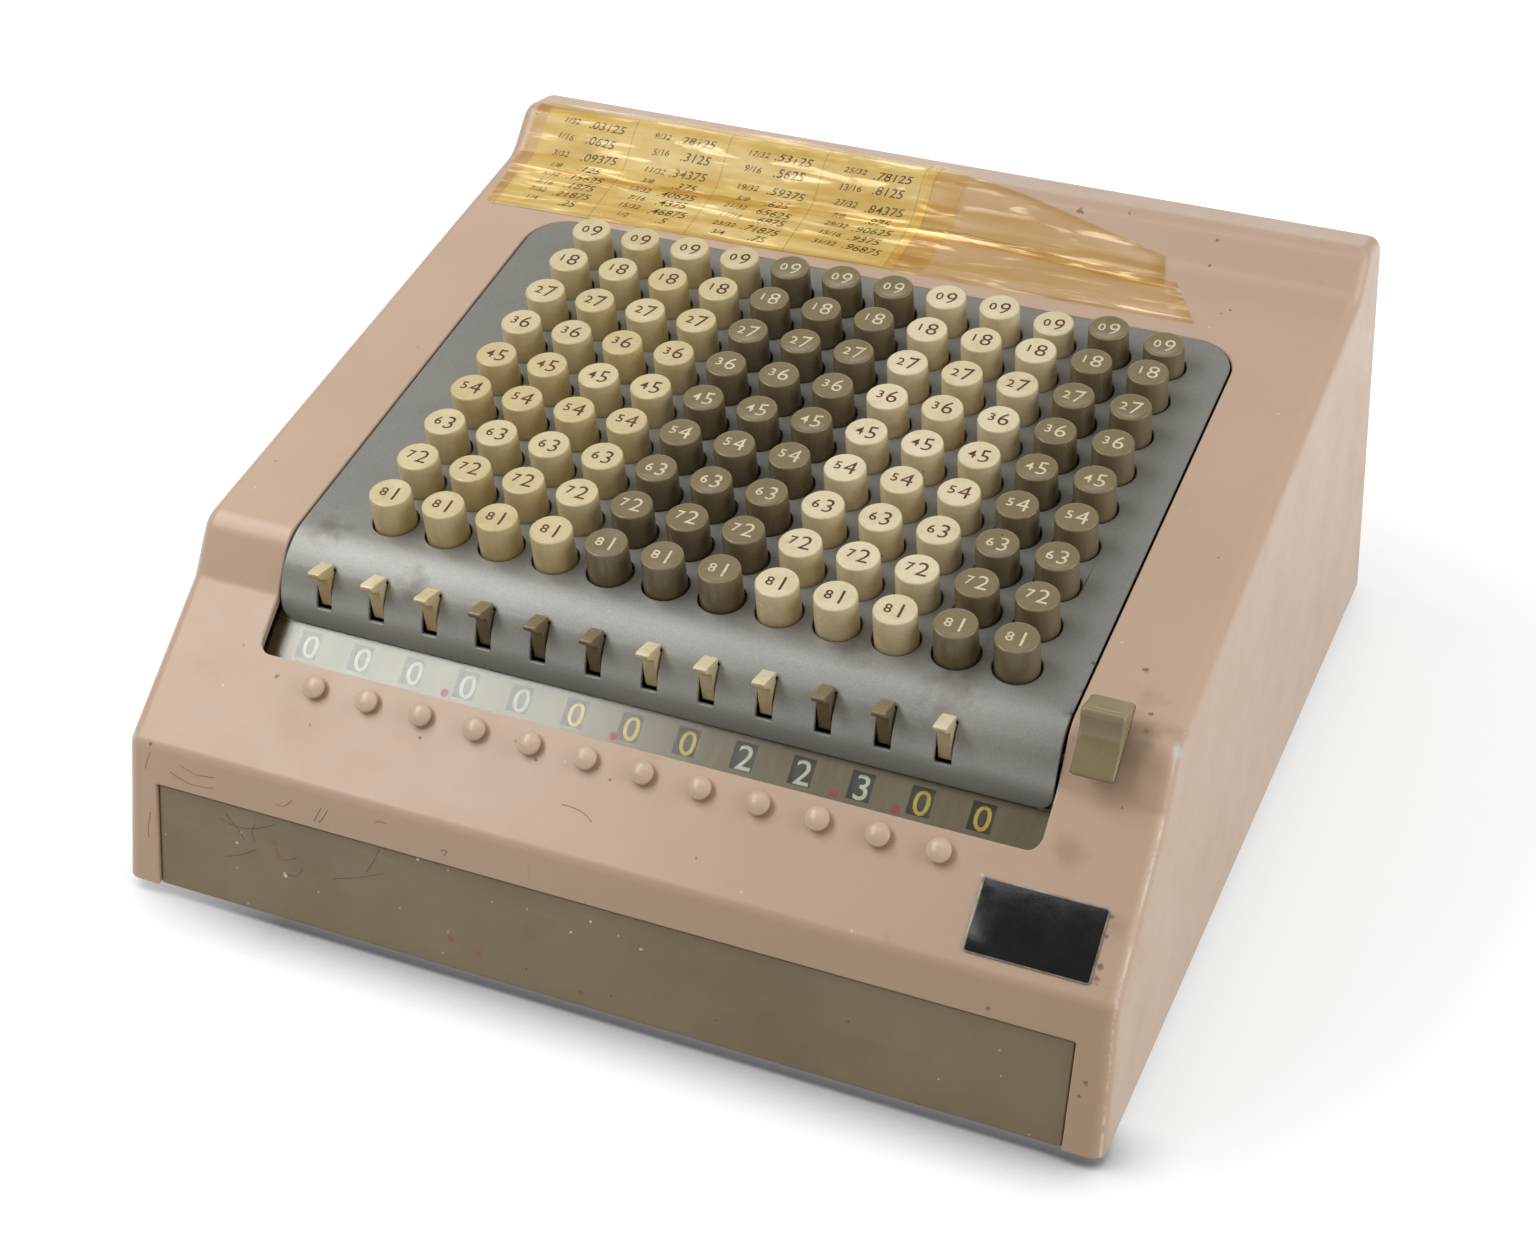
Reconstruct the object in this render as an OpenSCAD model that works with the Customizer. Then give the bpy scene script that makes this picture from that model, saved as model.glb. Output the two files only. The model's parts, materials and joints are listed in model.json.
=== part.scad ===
// Key-driven electric desk calculator with a full keyboard and a number register.
// Millimetres. +X is to the right, +Y to the rear, +Z up.
// The origin lies on the table, under the middle of the casing.

/* [Casing] */
// Width of the casing across its lower rim
body_w = 334; // [324:1:350]
// Depth of the casing along its lower rim
body_d = 335; // [328:1:350]
// Height of the lower rim above the table
rim_z = 4; // [3:0.5:8]
// Thickness of the casing wall
wall = 3; // [2:0.25:3.5]
// Lean of the side walls, in degrees
side_lean = 2.1; // [0.5:0.1:3]
// Lean of the front wall, in degrees
front_lean = 9.9; // [6:0.1:12]
// Lean of the rear wall, in degrees
rear_lean = 8.8; // [5:0.1:11]
// Radius along the side edges
edge_r = 4.5; // [2:0.25:6]
// Height at which the front wall meets the apron
front_h = 51; // [46:1:56]
// Slope of the apron, in degrees
apron_tilt = 40.5; // [38:0.5:43]
// Height of the riser between the apron and the keyboard slope
riser_h = 17.3; // [15:0.1:20]
// Slope of the riser, in degrees
riser_tilt = 60; // [55:1:68]
// Slope of the keyboard and its margins, in degrees
board_tilt = 10.2; // [8:0.1:12]
// Flat stretch between the keyboard and the rear hump
hump_gap = 35; // [28:1:42]
// Height of the rear hump over the keyboard slope
hump_h = 14.3; // [9:0.1:18]
// Slope of the hump's front, in degrees
hump_tilt = 49; // [40:1:60]
// Fall of the hump's top towards the rear, in degrees
hump_fall = 9; // [4:0.5:12]

/* [Front panel] */
// Width of the front panel
panel_w = 308; // [290:1:311]
// Height of the front panel's top edge above the rim
panel_h = 37; // [30:1:40]
// How far the panel's face lies behind the front wall
panel_set = 1.2; // [0.6:0.1:1.6]

/* [Keyboard] */
// Distance between key columns
key_pitch = 19.05; // [18:0.05:20]
// Distance between key rows, along the slope
row_pitch = 18.7; // [18:0.1:19.5]
// Sideways place of the middle of the key columns
key_x = 4; // [2:0.5:5]
// Diameter of a key at its top
key_d = 13.6; // [12:0.1:14.4]
// Extra diameter of a key at its foot
key_flare = 0.4; // [0:0.1:0.8]
// Height of the key tops over the keyboard plate
key_h = 12; // [10:0.5:14]
// Travel of a key
key_travel = 6; // [3:0.5:8]
// Depth of the dish in the odd-numbered keys
dish = 0.7; // [0.3:0.1:1]
// How much lower the two worn keys of the last row sit
worn_drop = 2.5; // [0:0.5:4]
// Gap between a key and its hole
key_gap = 0.6; // [0.45:0.05:0.9]
// Diameter of a key stem
stem_d = 4; // [3:0.25:5]
// Thickness of the keyboard plate
board_t = 1.6; // [1.2:0.1:2]
// Plate beside the outer key columns
board_side = 25.2; // [24:0.2:26]
// Plate behind the last key row
board_back = 17.4; // [13:0.2:19]
// Distance from the plate's nose to the first key row
first_row = 26.6; // [25:0.2:30]
// Gap between the keyboard plate and the casing
board_gap = 0.8; // [0.4:0.1:1.2]
// Radius of the plate's rear corners
board_corner = 14; // [8:1:16]
// Outer radius of the plate's rolled front
roll_r = 21.7; // [20:0.1:22.5]

/* [Register] */
// Distance up the apron to the lower edge of the opening
lip_up = 38; // [36.5:0.5:39]
// Distance up the apron to the line of digits
digit_up = 45.2; // [43.5:0.1:46.5]
// Distance up the apron to the foot of the riser
riser_up = 57; // [56:0.5:58.5]
// Sideways place of the middle of the number wheels
register_x = -4.6; // [-5.5:0.1:-3.5]
// Depth of the window under the apron
window_depth = 7; // [6:0.1:8]
// Thickness of the window
window_t = 1.6; // [1:0.1:2]
// Thickness of the mask under the window
mask_t = 0.8; // [0.5:0.1:1.2]
// Width of an aperture in the mask
digit_w = 7.4; // [6:0.1:8.4]
// Height of an aperture in the mask
digit_h = 9; // [7:0.1:10]
// Radius of a number wheel
wheel_r = 15; // [13.5:0.1:15.5]
// Width of a number wheel's rim
wheel_w = 9; // [8.6:0.1:10]
// Diameter of the shaft under the number wheels
wheel_shaft_d = 6; // [5:0.25:7]

/* [Levers and buttons] */
// Sideways place of the middle of the levers
lever_x = -9.2; // [-10:0.1:-8]
// Thickness of a lever
lever_t = 4.5; // [3.6:0.1:4.8]
// Gap between a lever and the sides of its slot
lever_gap = 0.4; // [0.4:0.05:0.8]
// Diameter of the shaft under the levers
lever_shaft_d = 5; // [4:0.25:5.5]
// Sideways place of the middle of the point buttons
button_x = -1.9; // [-4:0.1:0]
// Distance up the apron to the line of point buttons
button_up = 30.8; // [29:0.1:31.5]
// Diameter of a point button
button_d = 7.6; // [6.6:0.1:8]
// Travel of a point button
button_travel = 1; // [0.6:0.1:1.2]
// Diameter of a point button's stem
button_stem_d = 4; // [3:0.25:4.5]
// Width of the clear key's cap
clear_w = 13.4; // [12:0.2:15]
// Gap between the clear key and the keyboard plate's opening
clear_side = 4; // [2.5:0.25:4.5]
// Travel of the clear key
clear_travel = 2; // [1:0.25:3]
// Height of the clear key's crest over its underside
clear_h = 11.7; // [10:0.1:13]
// Length of the clear key's shank under its cap
clear_shank = 21; // [16:1:24]

/* [Inside] */
// Thickness of the base plate
base_t = 2; // [1.5:0.25:3]
// Thickness of a side frame
frame_t = 3; // [2:0.25:4]
// Depth of the stem guide under the keyboard plate
guide_depth = 38; // [35:0.5:42]
// Thickness of the stem guide
guide_t = 1.5; // [1:0.25:2]
// Diameter of the tie rods
tie_d = 8; // [6:0.5:10]
// Diameter of the motor
motor_d = 64; // [54:1:68]
// Length of the motor
motor_l = 80; // [60:1:90]
// Gap between the motor and the rear wall
motor_gap = 7.25; // [5:0.25:12]
// Diameter of the drive shaft
drive_d = 8; // [6:0.5:10]
// Radius of the drive gear over its teeth
gear_r = 15.5; // [13:0.5:18]
// Depth of the drive gear's teeth
gear_tooth = 2.5; // [1.5:0.25:3]
// Width of the drive gear
gear_w = 6; // [4:0.5:8]
// Distance from the drive gear to the right frame
gear_side = 16; // [10:1:24]
// How far the rods stand out of the frames
rod_over = 3; // [2:0.5:5]
// Diameter of the cord entry in the rear wall
cord_d = 12; // [8:0.5:16]
// Diameter of the casing screws
screw_d = 4; // [3:0.25:5]
// Diameter of a foot
foot_d = 20; // [16:1:24]

/* [Fits] */
// Radial play of a shaft in its bore
run_gap = 0.05; // [0.02:0.01:0.08]
// Play between fixed pieces that are seated on each other
seat_gap = 0.05; // [0.03:0.01:0.1]
// Play around pieces that drop into an opening
drop_gap = 0.4; // [0.3:0.05:0.6]

/* [Hidden] */
columns = 12;
rows = 9;
wheels = columns + 1;

enamel = "#c9b0a0";
panel_brown = "#7b6f5c";
hammer_grey = "#8a8d93";
key_cream = "#d9cba3";
key_brown = "#7d735c";
steel = "#a9adb0";
black_drum = "#23262d";

$fn = 48;
arc_steps = 6;
edge_steps = 4;
roll_steps = 16;
far = 400;
shoulder_r = 10;

// Corners of the casing seen from its right side, as [y, z]
front_foot = [-body_d / 2, rim_z];
rear_foot = [body_d / 2, rim_z];
front_edge = front_foot + front_h * [tan(front_lean), 1];
riser_foot = front_edge + riser_up * [cos(apron_tilt), sin(apron_tilt)];
shoulder = riser_foot + riser_h * [1 / tan(riser_tilt), 1];
nose_y = riser_foot.x;
row_1_y = nose_y + first_row;
board_rear_y = row_1_y + ((rows - 1) * row_pitch + board_back) * cos(board_tilt);
hump_foot = [board_rear_y + hump_gap, board_z(board_rear_y + hump_gap)];
crest = hump_foot + hump_h * [1 / tan(hump_tilt), 1];
rear_top = meet(crest, [cos(hump_fall), -sin(hump_fall)], rear_foot, [-sin(rear_lean), cos(rear_lean)]);

// Each corner with the radius of its curve; the first edge is the open foot
side_view = [
    [front_foot, 0], [rear_foot, 0], [rear_top, 7], [crest, 8],
    [hump_foot, 12], [shoulder, shoulder_r], [riser_foot, 7], [front_edge, 5]];

board_w = (columns - 1) * key_pitch + 2 * board_side;
opening_w = board_w + 2 * board_gap;
lip_y = apron_point(lip_up, 0).x;
roll_c = [nose_y + roll_r, board_z(nose_y + roll_r) - roll_r / cos(board_tilt)];
hole_d = key_d + key_flare + 2 * key_gap;
slot_w = lever_t + 2 * lever_gap;

// Levels of the register, measured square to the apron
mask_depth = window_depth + window_t + seat_gap;
wheel_depth = mask_depth + mask_t + 0.6;
wheel_c = apron_point(digit_up, wheel_depth + wheel_r);
strip_low = lip_up - 3;
strip_high = riser_up - 1.5;
wheel_reach = abs(register_x) + (wheels - 1) / 2 * key_pitch + wheel_w / 2;
frame_in = wheel_reach + 1;
frame_out = frame_in + frame_t;
strip_over = 2;
strip_w = opening_w + 2 * strip_over;

// Lever pivot, and the angles at which its slot begins and ends on the roll
lever_c = roll_c + [-7, 2.6];
slot_low = 3.5;
slot_high = 41;

base_top = rim_z + base_t;
motor_z = base_top + motor_d / 2 + 8;
motor_c = [rear_in(motor_z) - motor_d / 2 - motor_gap, motor_z];
motor_x = -frame_in + 4;
shaft_in = 26;
tie_c = [[motor_c.x - motor_d / 2 - 23, base_top + 24], [board_rear_y - 2, board_z(board_rear_y - 2) - 22]];
boss_r = 5;
boss_x = half_w(rim_z) - wall - boss_r - 3;
boss_y = [-body_d / 2 + 30, 0, body_d / 2 - 30];
clear_x = opening_w / 2 + clear_side + clear_w / 2;
clear_tilt = 42;
clear_low = -15;
clear_high = 9.9;
half_turn = (riser_tilt - board_tilt) / 2;
// Depth of the curved shoulder under its corner, square to the clear key
crown = shoulder_r * (cos(clear_tilt - board_tilt - half_turn) / cos(half_turn) - 1);
// Underside of the clear key at rest, over the same corner
clear_z = clear_travel + 0.35 - crown;
shank_w = clear_w - 6;
shank_d = 12;
// Corners of the clear key's cap from its front foot backwards, each with the radius of its curve
clear_view = [
    [[clear_low, 0], 0.4], [[clear_high, 0], 0.6], [[2.4, clear_h], 2], [[-2.5, 4.1], 12],
    [[clear_low, 1.95], 1]];
panel_flange = 4;
panel_back = 1.5;

// Half the width of the casing at a height
function half_w(z) = body_w / 2 - (z - rim_z) * tan(side_lean);
// Inner face of the rear wall at a height
function rear_in(z) = rear_foot.x - (z - rim_z) * tan(rear_lean) - wall / cos(rear_lean);
// Height of the keyboard slope at a depth
function board_z(y) = shoulder.y + (y - shoulder.x) * tan(board_tilt);
// Point at a distance up the apron and a depth under it, as [y, z]
function apron_point(up, depth) =
    front_edge + up * [cos(apron_tilt), sin(apron_tilt)] + depth * [sin(apron_tilt), -cos(apron_tilt)];
// Height of the plane that lies a depth under the apron
function apron_z(y, depth) = front_edge.y + (y - front_edge.x) * tan(apron_tilt) - depth / cos(apron_tilt);
// Point on the keyboard slope at a distance behind the first row and a depth under it, as [y, z]
function board_point(back, depth) =
    [row_1_y, board_z(row_1_y)] + back * [cos(board_tilt), sin(board_tilt)]
    + depth * [sin(board_tilt), -cos(board_tilt)];
function unit(v) = v / norm(v);
function left_of(v) = [-v.y, v.x];
function polar(r, a) = r * [cos(a), sin(a)];
// Where the line through p along d meets the line through q along e
function meet(p, d, q, e) = p + d * cross(q - p, e) / cross(d, e);
function key_at(column) = key_x + (column - (columns + 1) / 2) * key_pitch;
function wheel_at(i) = register_x + (i - (wheels + 1) / 2) * key_pitch;
function lever_at(i) = lever_x + (i - (columns + 1) / 2) * key_pitch;
function button_at(i) = button_x + (i - (columns + 1) / 2) * key_pitch;
function brown_key(column) = (column >= 5 && column <= 7) || column >= 11;
function brown_lever(i) = (i >= 4 && i <= 6) || i == 10 || i == 11;
function worn_key(column, row) = row == rows && (column == 10 || column == 12);

// Corners of the side view moved inwards by inset, with the open foot moved by foot_inset
function inset_corners(inset, foot_inset) =
    let (n = len(side_view))
    [for (i = [0:n - 1])
        let (before = side_view[(i + n - 1) % n][0])
        let (here = side_view[i][0])
        let (after = side_view[(i + 1) % n][0])
        let (d_in = unit(here - before))
        let (d_out = unit(after - here))
        let (move_in = i == 1 ? foot_inset : inset)
        let (move_out = i == 0 ? foot_inset : inset)
        meet(before + left_of(d_in) * move_in, d_in, here + left_of(d_out) * move_out, d_out)];

// Points of the curve at corner b, between a and c
function corner_curve(a, b, c, r) =
    let (u = unit(a - b))
    let (w = unit(c - b))
    let (half = acos(u * w) / 2)
    let (centre = b + unit(u + w) * r / sin(half))
    let (start = b + u * r / tan(half) - centre)
    let (turn = sign(cross(b - a, c - b)) * (180 - 2 * half))
    [for (k = [0:arc_steps]) centre + polar(r, atan2(start.y, start.x) + turn * k / arc_steps)];

// Side view with its curves, moved inwards by inset
function side_outline(inset, foot_inset = 0) =
    let (points = inset_corners(inset, foot_inset))
    let (n = len(points))
    [for (i = [0:n - 1])
        let (a = points[(i + n - 1) % n])
        let (b = points[i])
        let (c = points[(i + 1) % n])
        let (hollow = cross(b - a, c - b) < 0)
        let (r = side_view[i][1] + (hollow ? inset : -inset))
        each side_view[i][1] == 0 ? [b] : corner_curve(a, b, c, max(r, 0.3))];

// Points of a gear's outline
function gear_points(teeth, root_r, tip_r) =
    [for (i = [0:teeth - 1]) for (k = [0:3])
        polar(k == 1 || k == 2 ? tip_r : root_r, 360 / teeth * (i + [0, 0.18, 0.42, 0.6][k]))];

// Stretches a drawing of the side view along X
module along_x(length) {
    rotate([90, 0, 90])
        linear_extrude(length, center = true)
            children();
}

module on_board(x = 0, back = 0, lift = 0) {
    translate([0, row_1_y, board_z(row_1_y)])
        rotate([board_tilt, 0, 0])
            translate([x, back, lift])
                children();
}

module on_apron(x = 0, up = 0, lift = 0) {
    translate([0, front_edge.x, front_edge.y])
        rotate([apron_tilt, 0, 0])
            translate([x, up, lift])
                children();
}

// Frame on the front wall: x to the right, y up the wall, z outwards
module on_front(lift = 0) {
    translate([0, front_foot.x, front_foot.y])
        rotate([90 - front_lean, 0, 0])
            translate([0, 0, lift])
                children();
}

// Frame of the clear key: z leaves the shoulder square to it, y runs up it
module on_shoulder(lift = 0) {
    translate([clear_x, shoulder.x, shoulder.y])
        rotate([clear_tilt, 0, 0])
            translate([0, 0, lift])
                children();
}

// What is cut away to round a corner at the origin that points along +X +Y
module corner_cut(r) {
    difference() {
        translate([-r, -r])
            square(r + 1);
        translate([-r, -r])
            circle(r);
    }
}

// Closed outer form of the casing: the side view, drawn in along both side edges
module casing_form() {
    turns = [for (k = [edge_steps:-1:0]) [-1, k], for (k = [0:edge_steps]) [1, k]];
    rings = [for (t = turns)
        let (a = 90 * t[1] / edge_steps)
        [for (p = side_outline(edge_r * (1 - cos(a))))
            [t[0] * (half_w(p.y) - edge_r * (1 - sin(a))), p.x, p.y]]];
    m = len(rings);
    n = len(rings[0]);
    walls = [for (j = [0:m - 2]) for (i = [0:n - 1])
        let (k = (i + 1) % n)
        each [[j * n + i, (j + 1) * n + k, j * n + k], [j * n + i, (j + 1) * n + i, (j + 1) * n + k]]];
    // Both ends start at the rear foot, from which the whole outline can be seen
    first_cap = [for (i = [0:n - 1]) (1 + i) % n];
    last_cap = [for (i = [0:n - 1]) (m - 1) * n + (n + 1 - i) % n];
    polyhedron([for (r = rings) each r], concat([first_cap], walls, [last_cap]));
}

// Room inside the casing, open at the foot
module casing_room() {
    top_z = crest.y + 5;
    intersection() {
        along_x(body_w)
            polygon(side_outline(wall, -2));
        rotate([90, 0, 0])
            linear_extrude(2 * far, center = true)
                polygon([
                    [-half_w(0) + wall, 0], [half_w(0) - wall, 0],
                    [half_w(top_z) - wall, top_z], [-half_w(top_z) + wall, top_z]]);
    }
}

// Opening for the keyboard plate and the register, cut straight down
module board_opening() {
    r = board_corner + board_gap;
    rear_y = board_rear_y + board_gap;
    translate([0, 0, apron_z(lip_y, wall + 3)])
        linear_extrude(far)
            difference() {
                translate([-opening_w / 2, lip_y])
                    square([opening_w, rear_y - lip_y]);
                for (x = [0, 1])
                    mirror([x, 0])
                        translate([opening_w / 2, rear_y])
                            corner_cut(r);
                for (x = [0, 1])
                    mirror([x, 0])
                        translate([opening_w / 2, lip_y])
                            mirror([0, 1])
                                corner_cut(4);
            }
}

module casing() {
    color(enamel)
        difference() {
            union() {
                difference() {
                    casing_form();
                    casing_room();
                }
                for (x = [0, 1], y = boss_y)
                    mirror([x, 0, 0])
                        translate([boss_x, y, base_top + seat_gap]) {
                            cylinder(h = 16, r = boss_r);
                            translate([0, -2, 0])
                                cube([boss_r + 4, 4, 16]);
                        }
            }
            board_opening();
            on_front(-far / 40)
                translate([-panel_w / 2 - drop_gap, -far / 40])
                    cube([panel_w + 2 * drop_gap, panel_h + drop_gap + far / 40, far / 20]);
            on_shoulder()
                cube([shank_w + 2 * drop_gap, shank_d + 2 * drop_gap, far / 10], center = true);
            for (i = [1:columns])
                on_apron(button_at(i), button_up, -wall - 2)
                    cylinder(h = wall + 4, d = button_stem_d + 2 * drop_gap);
            for (x = [-boss_x, boss_x], y = boss_y)
                translate([x, y, rim_z])
                    cylinder(h = base_t + 12, d = screw_d + 2 * run_gap);
            translate([body_w / 4, body_d / 2 - 30, rim_z + 24])
                rotate([-90, 0, 0])
                    cylinder(h = 60, d = cord_d);
        }
}

// Brown plate in the front wall, with a flange behind the wall that stands on the base plate
module front_panel() {
    flange_w = panel_w + 2 * panel_flange;
    color(panel_brown)
        union() {
            difference() {
                on_front(-wall - seat_gap - panel_back)
                    translate([-flange_w / 2, -10])
                        cube([flange_w, panel_h + panel_flange + 10, panel_back]);
                translate([-far / 2, -far, -far])
                    cube([far, 2 * far, far + base_top + seat_gap]);
            }
            on_front(-wall - 5 * seat_gap)
                translate([-panel_w / 2, 0.4])
                    cube([panel_w, panel_h - 0.4, wall + 5 * seat_gap - panel_set]);
        }
}

// Side view of the keyboard plate: a slope, a rolled front and a short upright nose
module board_section() {
    length = (rows - 1) * row_pitch + board_back;
    turn = 90 - board_tilt;
    nose_gap = window_depth - drop_gap;
    outside = [for (k = [0:roll_steps]) roll_c + polar(roll_r, 180 - turn * k / roll_steps)];
    inside = [for (k = [roll_steps:-1:0]) roll_c + polar(roll_r - board_t, 180 - turn * k / roll_steps)];
    polygon(concat(
        [[nose_y + board_t, apron_z(nose_y + board_t, nose_gap)], [nose_y, apron_z(nose_y, nose_gap)]],
        outside, [board_point(length, 0), board_point(length, board_t)], inside));
}

module keyboard_plate() {
    nose_z = apron_z(nose_y, window_depth - drop_gap);
    color(hammer_grey)
        difference() {
            along_x(board_w)
                board_section();
            for (c = [1:columns], r = [1:rows])
                on_board(key_at(c), (r - 1) * row_pitch, -board_t - 2)
                    cylinder(h = board_t + 4, d = hole_d);
            for (i = [1:columns])
                translate([lever_at(i), 0, 0])
                    along_x(slot_w)
                        translate(roll_c)
                            polygon([
                                polar(roll_r / 2, 180 - slot_low), polar(2 * roll_r, 180 - slot_low),
                                polar(2 * roll_r, 180 - slot_high), polar(roll_r / 2, 180 - slot_high)]);
            for (x = [0, 1])
                mirror([x, 0, 0])
                    on_board(board_w / 2, (rows - 1) * row_pitch + board_back, -10)
                        linear_extrude(20)
                            corner_cut(board_corner);
            for (x = [0, 1])
                mirror([x, 0, 0])
                    translate([board_w / 2, nose_y + 10, nose_z])
                        rotate([90, 0, 0])
                            linear_extrude(20)
                                mirror([0, 1])
                                    corner_cut(5);
        }
}

// Clear strip over the mask
module register_window() {
    color("#dfe6e8", 0.35)
        on_apron(0, strip_low, -window_depth - window_t)
            translate([-strip_w / 2, 0, 0])
                cube([strip_w, strip_high - strip_low - 2, window_t]);
}

// Metal strip with an aperture over each number wheel
module register_mask() {
    color("#8d8474")
        difference() {
            on_apron(0, strip_low, -mask_depth - mask_t)
                translate([-strip_w / 2, 0, 0])
                    cube([strip_w, strip_high - strip_low, mask_t]);
            for (i = [1:wheels])
                on_apron(wheel_at(i), digit_up, -mask_depth - mask_t / 2)
                    cube([digit_w, digit_h, 3 * mask_t], center = true);
        }
}

// Flat floor of the machine, with air slots under the motor
module base_plate() {
    floor_w = 2 * (half_w(base_top) - wall - drop_gap);
    front_y = front_foot.x + wall / cos(front_lean) + base_t * tan(front_lean) + drop_gap;
    rear_y = rear_foot.x - wall / cos(rear_lean) - base_t * tan(rear_lean) - drop_gap;
    color(steel)
        difference() {
            translate([-floor_w / 2, front_y, rim_z])
                cube([floor_w, rear_y - front_y, base_t]);
            for (x = [-boss_x, boss_x], y = boss_y)
                translate([x, y, rim_z - 1])
                    cylinder(h = base_t + 2, d = screw_d + 2 * drop_gap);
            for (i = [0:6])
                translate([motor_x + 12 + 9 * i, motor_c.x - 20, rim_z - 1])
                    cube([3, 40, base_t + 2]);
        }
}

// Four rubber feet under the base plate
module feet() {
    inset = foot_d / 2 + 16;
    color("#2b2926")
        for (x = [-1, 1], y = [-1, 1])
            translate([x * (body_w / 2 - wall - inset), y * (body_d / 2 - wall - inset), 0])
                rotate_extrude()
                    polygon([
                        [0, 0], [foot_d / 2 - 2, 0], [foot_d / 2 - 1, 1],
                        [foot_d / 2, rim_z], [0, rim_z]]);
}

// Steel plates at both sides of the mechanism; they carry the keyboard plate, the register and the rods
module side_frames() {
    under = mask_depth + mask_t + seat_gap;
    top = board_t + seat_gap;
    rear_back = (rows - 1) * row_pitch + board_back - 6;
    toe_y = apron_point(strip_low + 2, under).x;
    tail_y = motor_c.x + 22;
    flange = 12;
    color(steel)
        for (side = [-1, 1])
            difference() {
                union() {
                    translate([side * (frame_in + frame_out) / 2, 0, 0])
                        along_x(frame_t)
                            polygon([
                                [toe_y, base_top], apron_point(strip_low + 2, under),
                                apron_point(strip_high - 2, under), roll_c + polar(roll_r - board_t - 2, 140),
                                board_point(-first_row + roll_r + 1, top), board_point(rear_back, top),
                                board_point(rear_back + 12, top + 34), [tail_y, motor_c.y + 30],
                                [tail_y, base_top]]);
                    translate([side > 0 ? frame_in - flange : -frame_in - 0.5, toe_y, base_top])
                        cube([flange + 0.5, tail_y - toe_y, 2]);
                }
                for (rod = concat([[wheel_c, wheel_shaft_d], [lever_c, lever_shaft_d], [motor_c, drive_d]],
                        [for (c = tie_c) [c, tie_d]]))
                    translate([side * frame_in, rod[0].x, rod[0].y])
                        rotate([0, 90, 0])
                            cylinder(h = 4 * frame_t, d = rod[1] + 2 * run_gap, center = true);
            }
}

// Sheet under the keyboard that keeps the key stems upright
module stem_guide() {
    edge = stem_d / 2 + 3.5;
    color(steel)
        difference() {
            on_board(0, -edge, -guide_depth - guide_t)
                translate([-frame_in + seat_gap, 0, 0])
                    cube([2 * (frame_in - seat_gap), (rows - 1) * row_pitch + 2 * edge, guide_t]);
            for (c = [1:columns], r = [1:rows])
                on_board(key_at(c), (r - 1) * row_pitch, -guide_depth - guide_t - 1)
                    cylinder(h = guide_t + 2, d = stem_d + 2 * drop_gap);
        }
}

// Fixed rods from frame to frame: under the wheels, under the levers, and two that tie the frames
module cross_rods() {
    length = 2 * (frame_out + rod_over);
    color("#c4c8cb")
        for (rod = concat([[wheel_c, wheel_shaft_d], [lever_c, lever_shaft_d]], [for (c = tie_c) [c, tie_d]]))
            translate([0, rod[0].x, rod[0].y])
                rotate([0, 90, 0])
                    cylinder(h = length, d = rod[1], center = true);
}

// Motor on its cradle, with a bearing bore for the drive shaft at its right end
module motor() {
    r = motor_d / 2;
    color("#3c4045")
        difference() {
            union() {
                translate([motor_x, motor_c.x, motor_c.y])
                    rotate([0, 90, 0])
                        rotate_extrude()
                            polygon([
                                [0, 0], [r * 0.4, 0], [r * 0.8, 6], [r - 3, 12], [r - 3, 18], [r, 18],
                                [r, motor_l - 18], [r - 3, motor_l - 18], [r - 3, motor_l - 12],
                                [r * 0.8, motor_l - 6], [r * 0.4, motor_l - 4], [r * 0.4, motor_l],
                                [0, motor_l]]);
                translate([motor_x + 22, motor_c.x - r * 0.8, base_top + seat_gap])
                    cube([motor_l - 44, r * 1.6, motor_c.y - base_top - r * 0.7]);
            }
            translate([motor_x + motor_l - shaft_in - 2, motor_c.x, motor_c.y])
                rotate([0, 90, 0])
                    cylinder(h = shaft_in + 4, d = drive_d + 2 * run_gap);
        }
}

// Shaft from the motor to the right frame, with the gear that drives the register
module drive_shaft() {
    start_x = motor_x + motor_l - shaft_in;
    color("#c4c8cb")
        translate([0, motor_c.x, motor_c.y])
            rotate([90, 0, 90]) {
                translate([0, 0, start_x])
                    cylinder(h = frame_out + rod_over - start_x, d = drive_d);
                translate([0, 0, frame_in - gear_side - gear_w])
                    linear_extrude(gear_w)
                        polygon(gear_points(24, gear_r - gear_tooth, gear_r));
            }
}

// Screws that hold the casing to the base plate, from below
module case_screws() {
    head_h = 2.2;
    color("#b9bcbf")
        for (x = [-boss_x, boss_x], y = boss_y)
            translate([x, y, rim_z - seat_gap - head_h])
                difference() {
                    union() {
                        cylinder(h = head_h, d = 2 * screw_d);
                        cylinder(h = head_h + base_t + 10, d = screw_d);
                    }
                    cube([2.5 * screw_d, 1, 1.6], center = true);
                }
}

// Bar key on the shoulder: a crest and a finger hollow, on a shank that goes through the casing
module clear_key() {
    n = len(clear_view);
    outline = [for (i = [0:n - 1])
        each corner_curve(
            clear_view[(i + n - 1) % n][0], clear_view[i][0], clear_view[(i + 1) % n][0], clear_view[i][1])];
    color(key_brown)
        on_shoulder(clear_z) {
            along_x(clear_w)
                polygon(outline);
            translate([-shank_w / 2, -shank_d / 2, -clear_shank])
                cube([shank_w, shank_d, clear_shank + 1]);
        }
}

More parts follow.
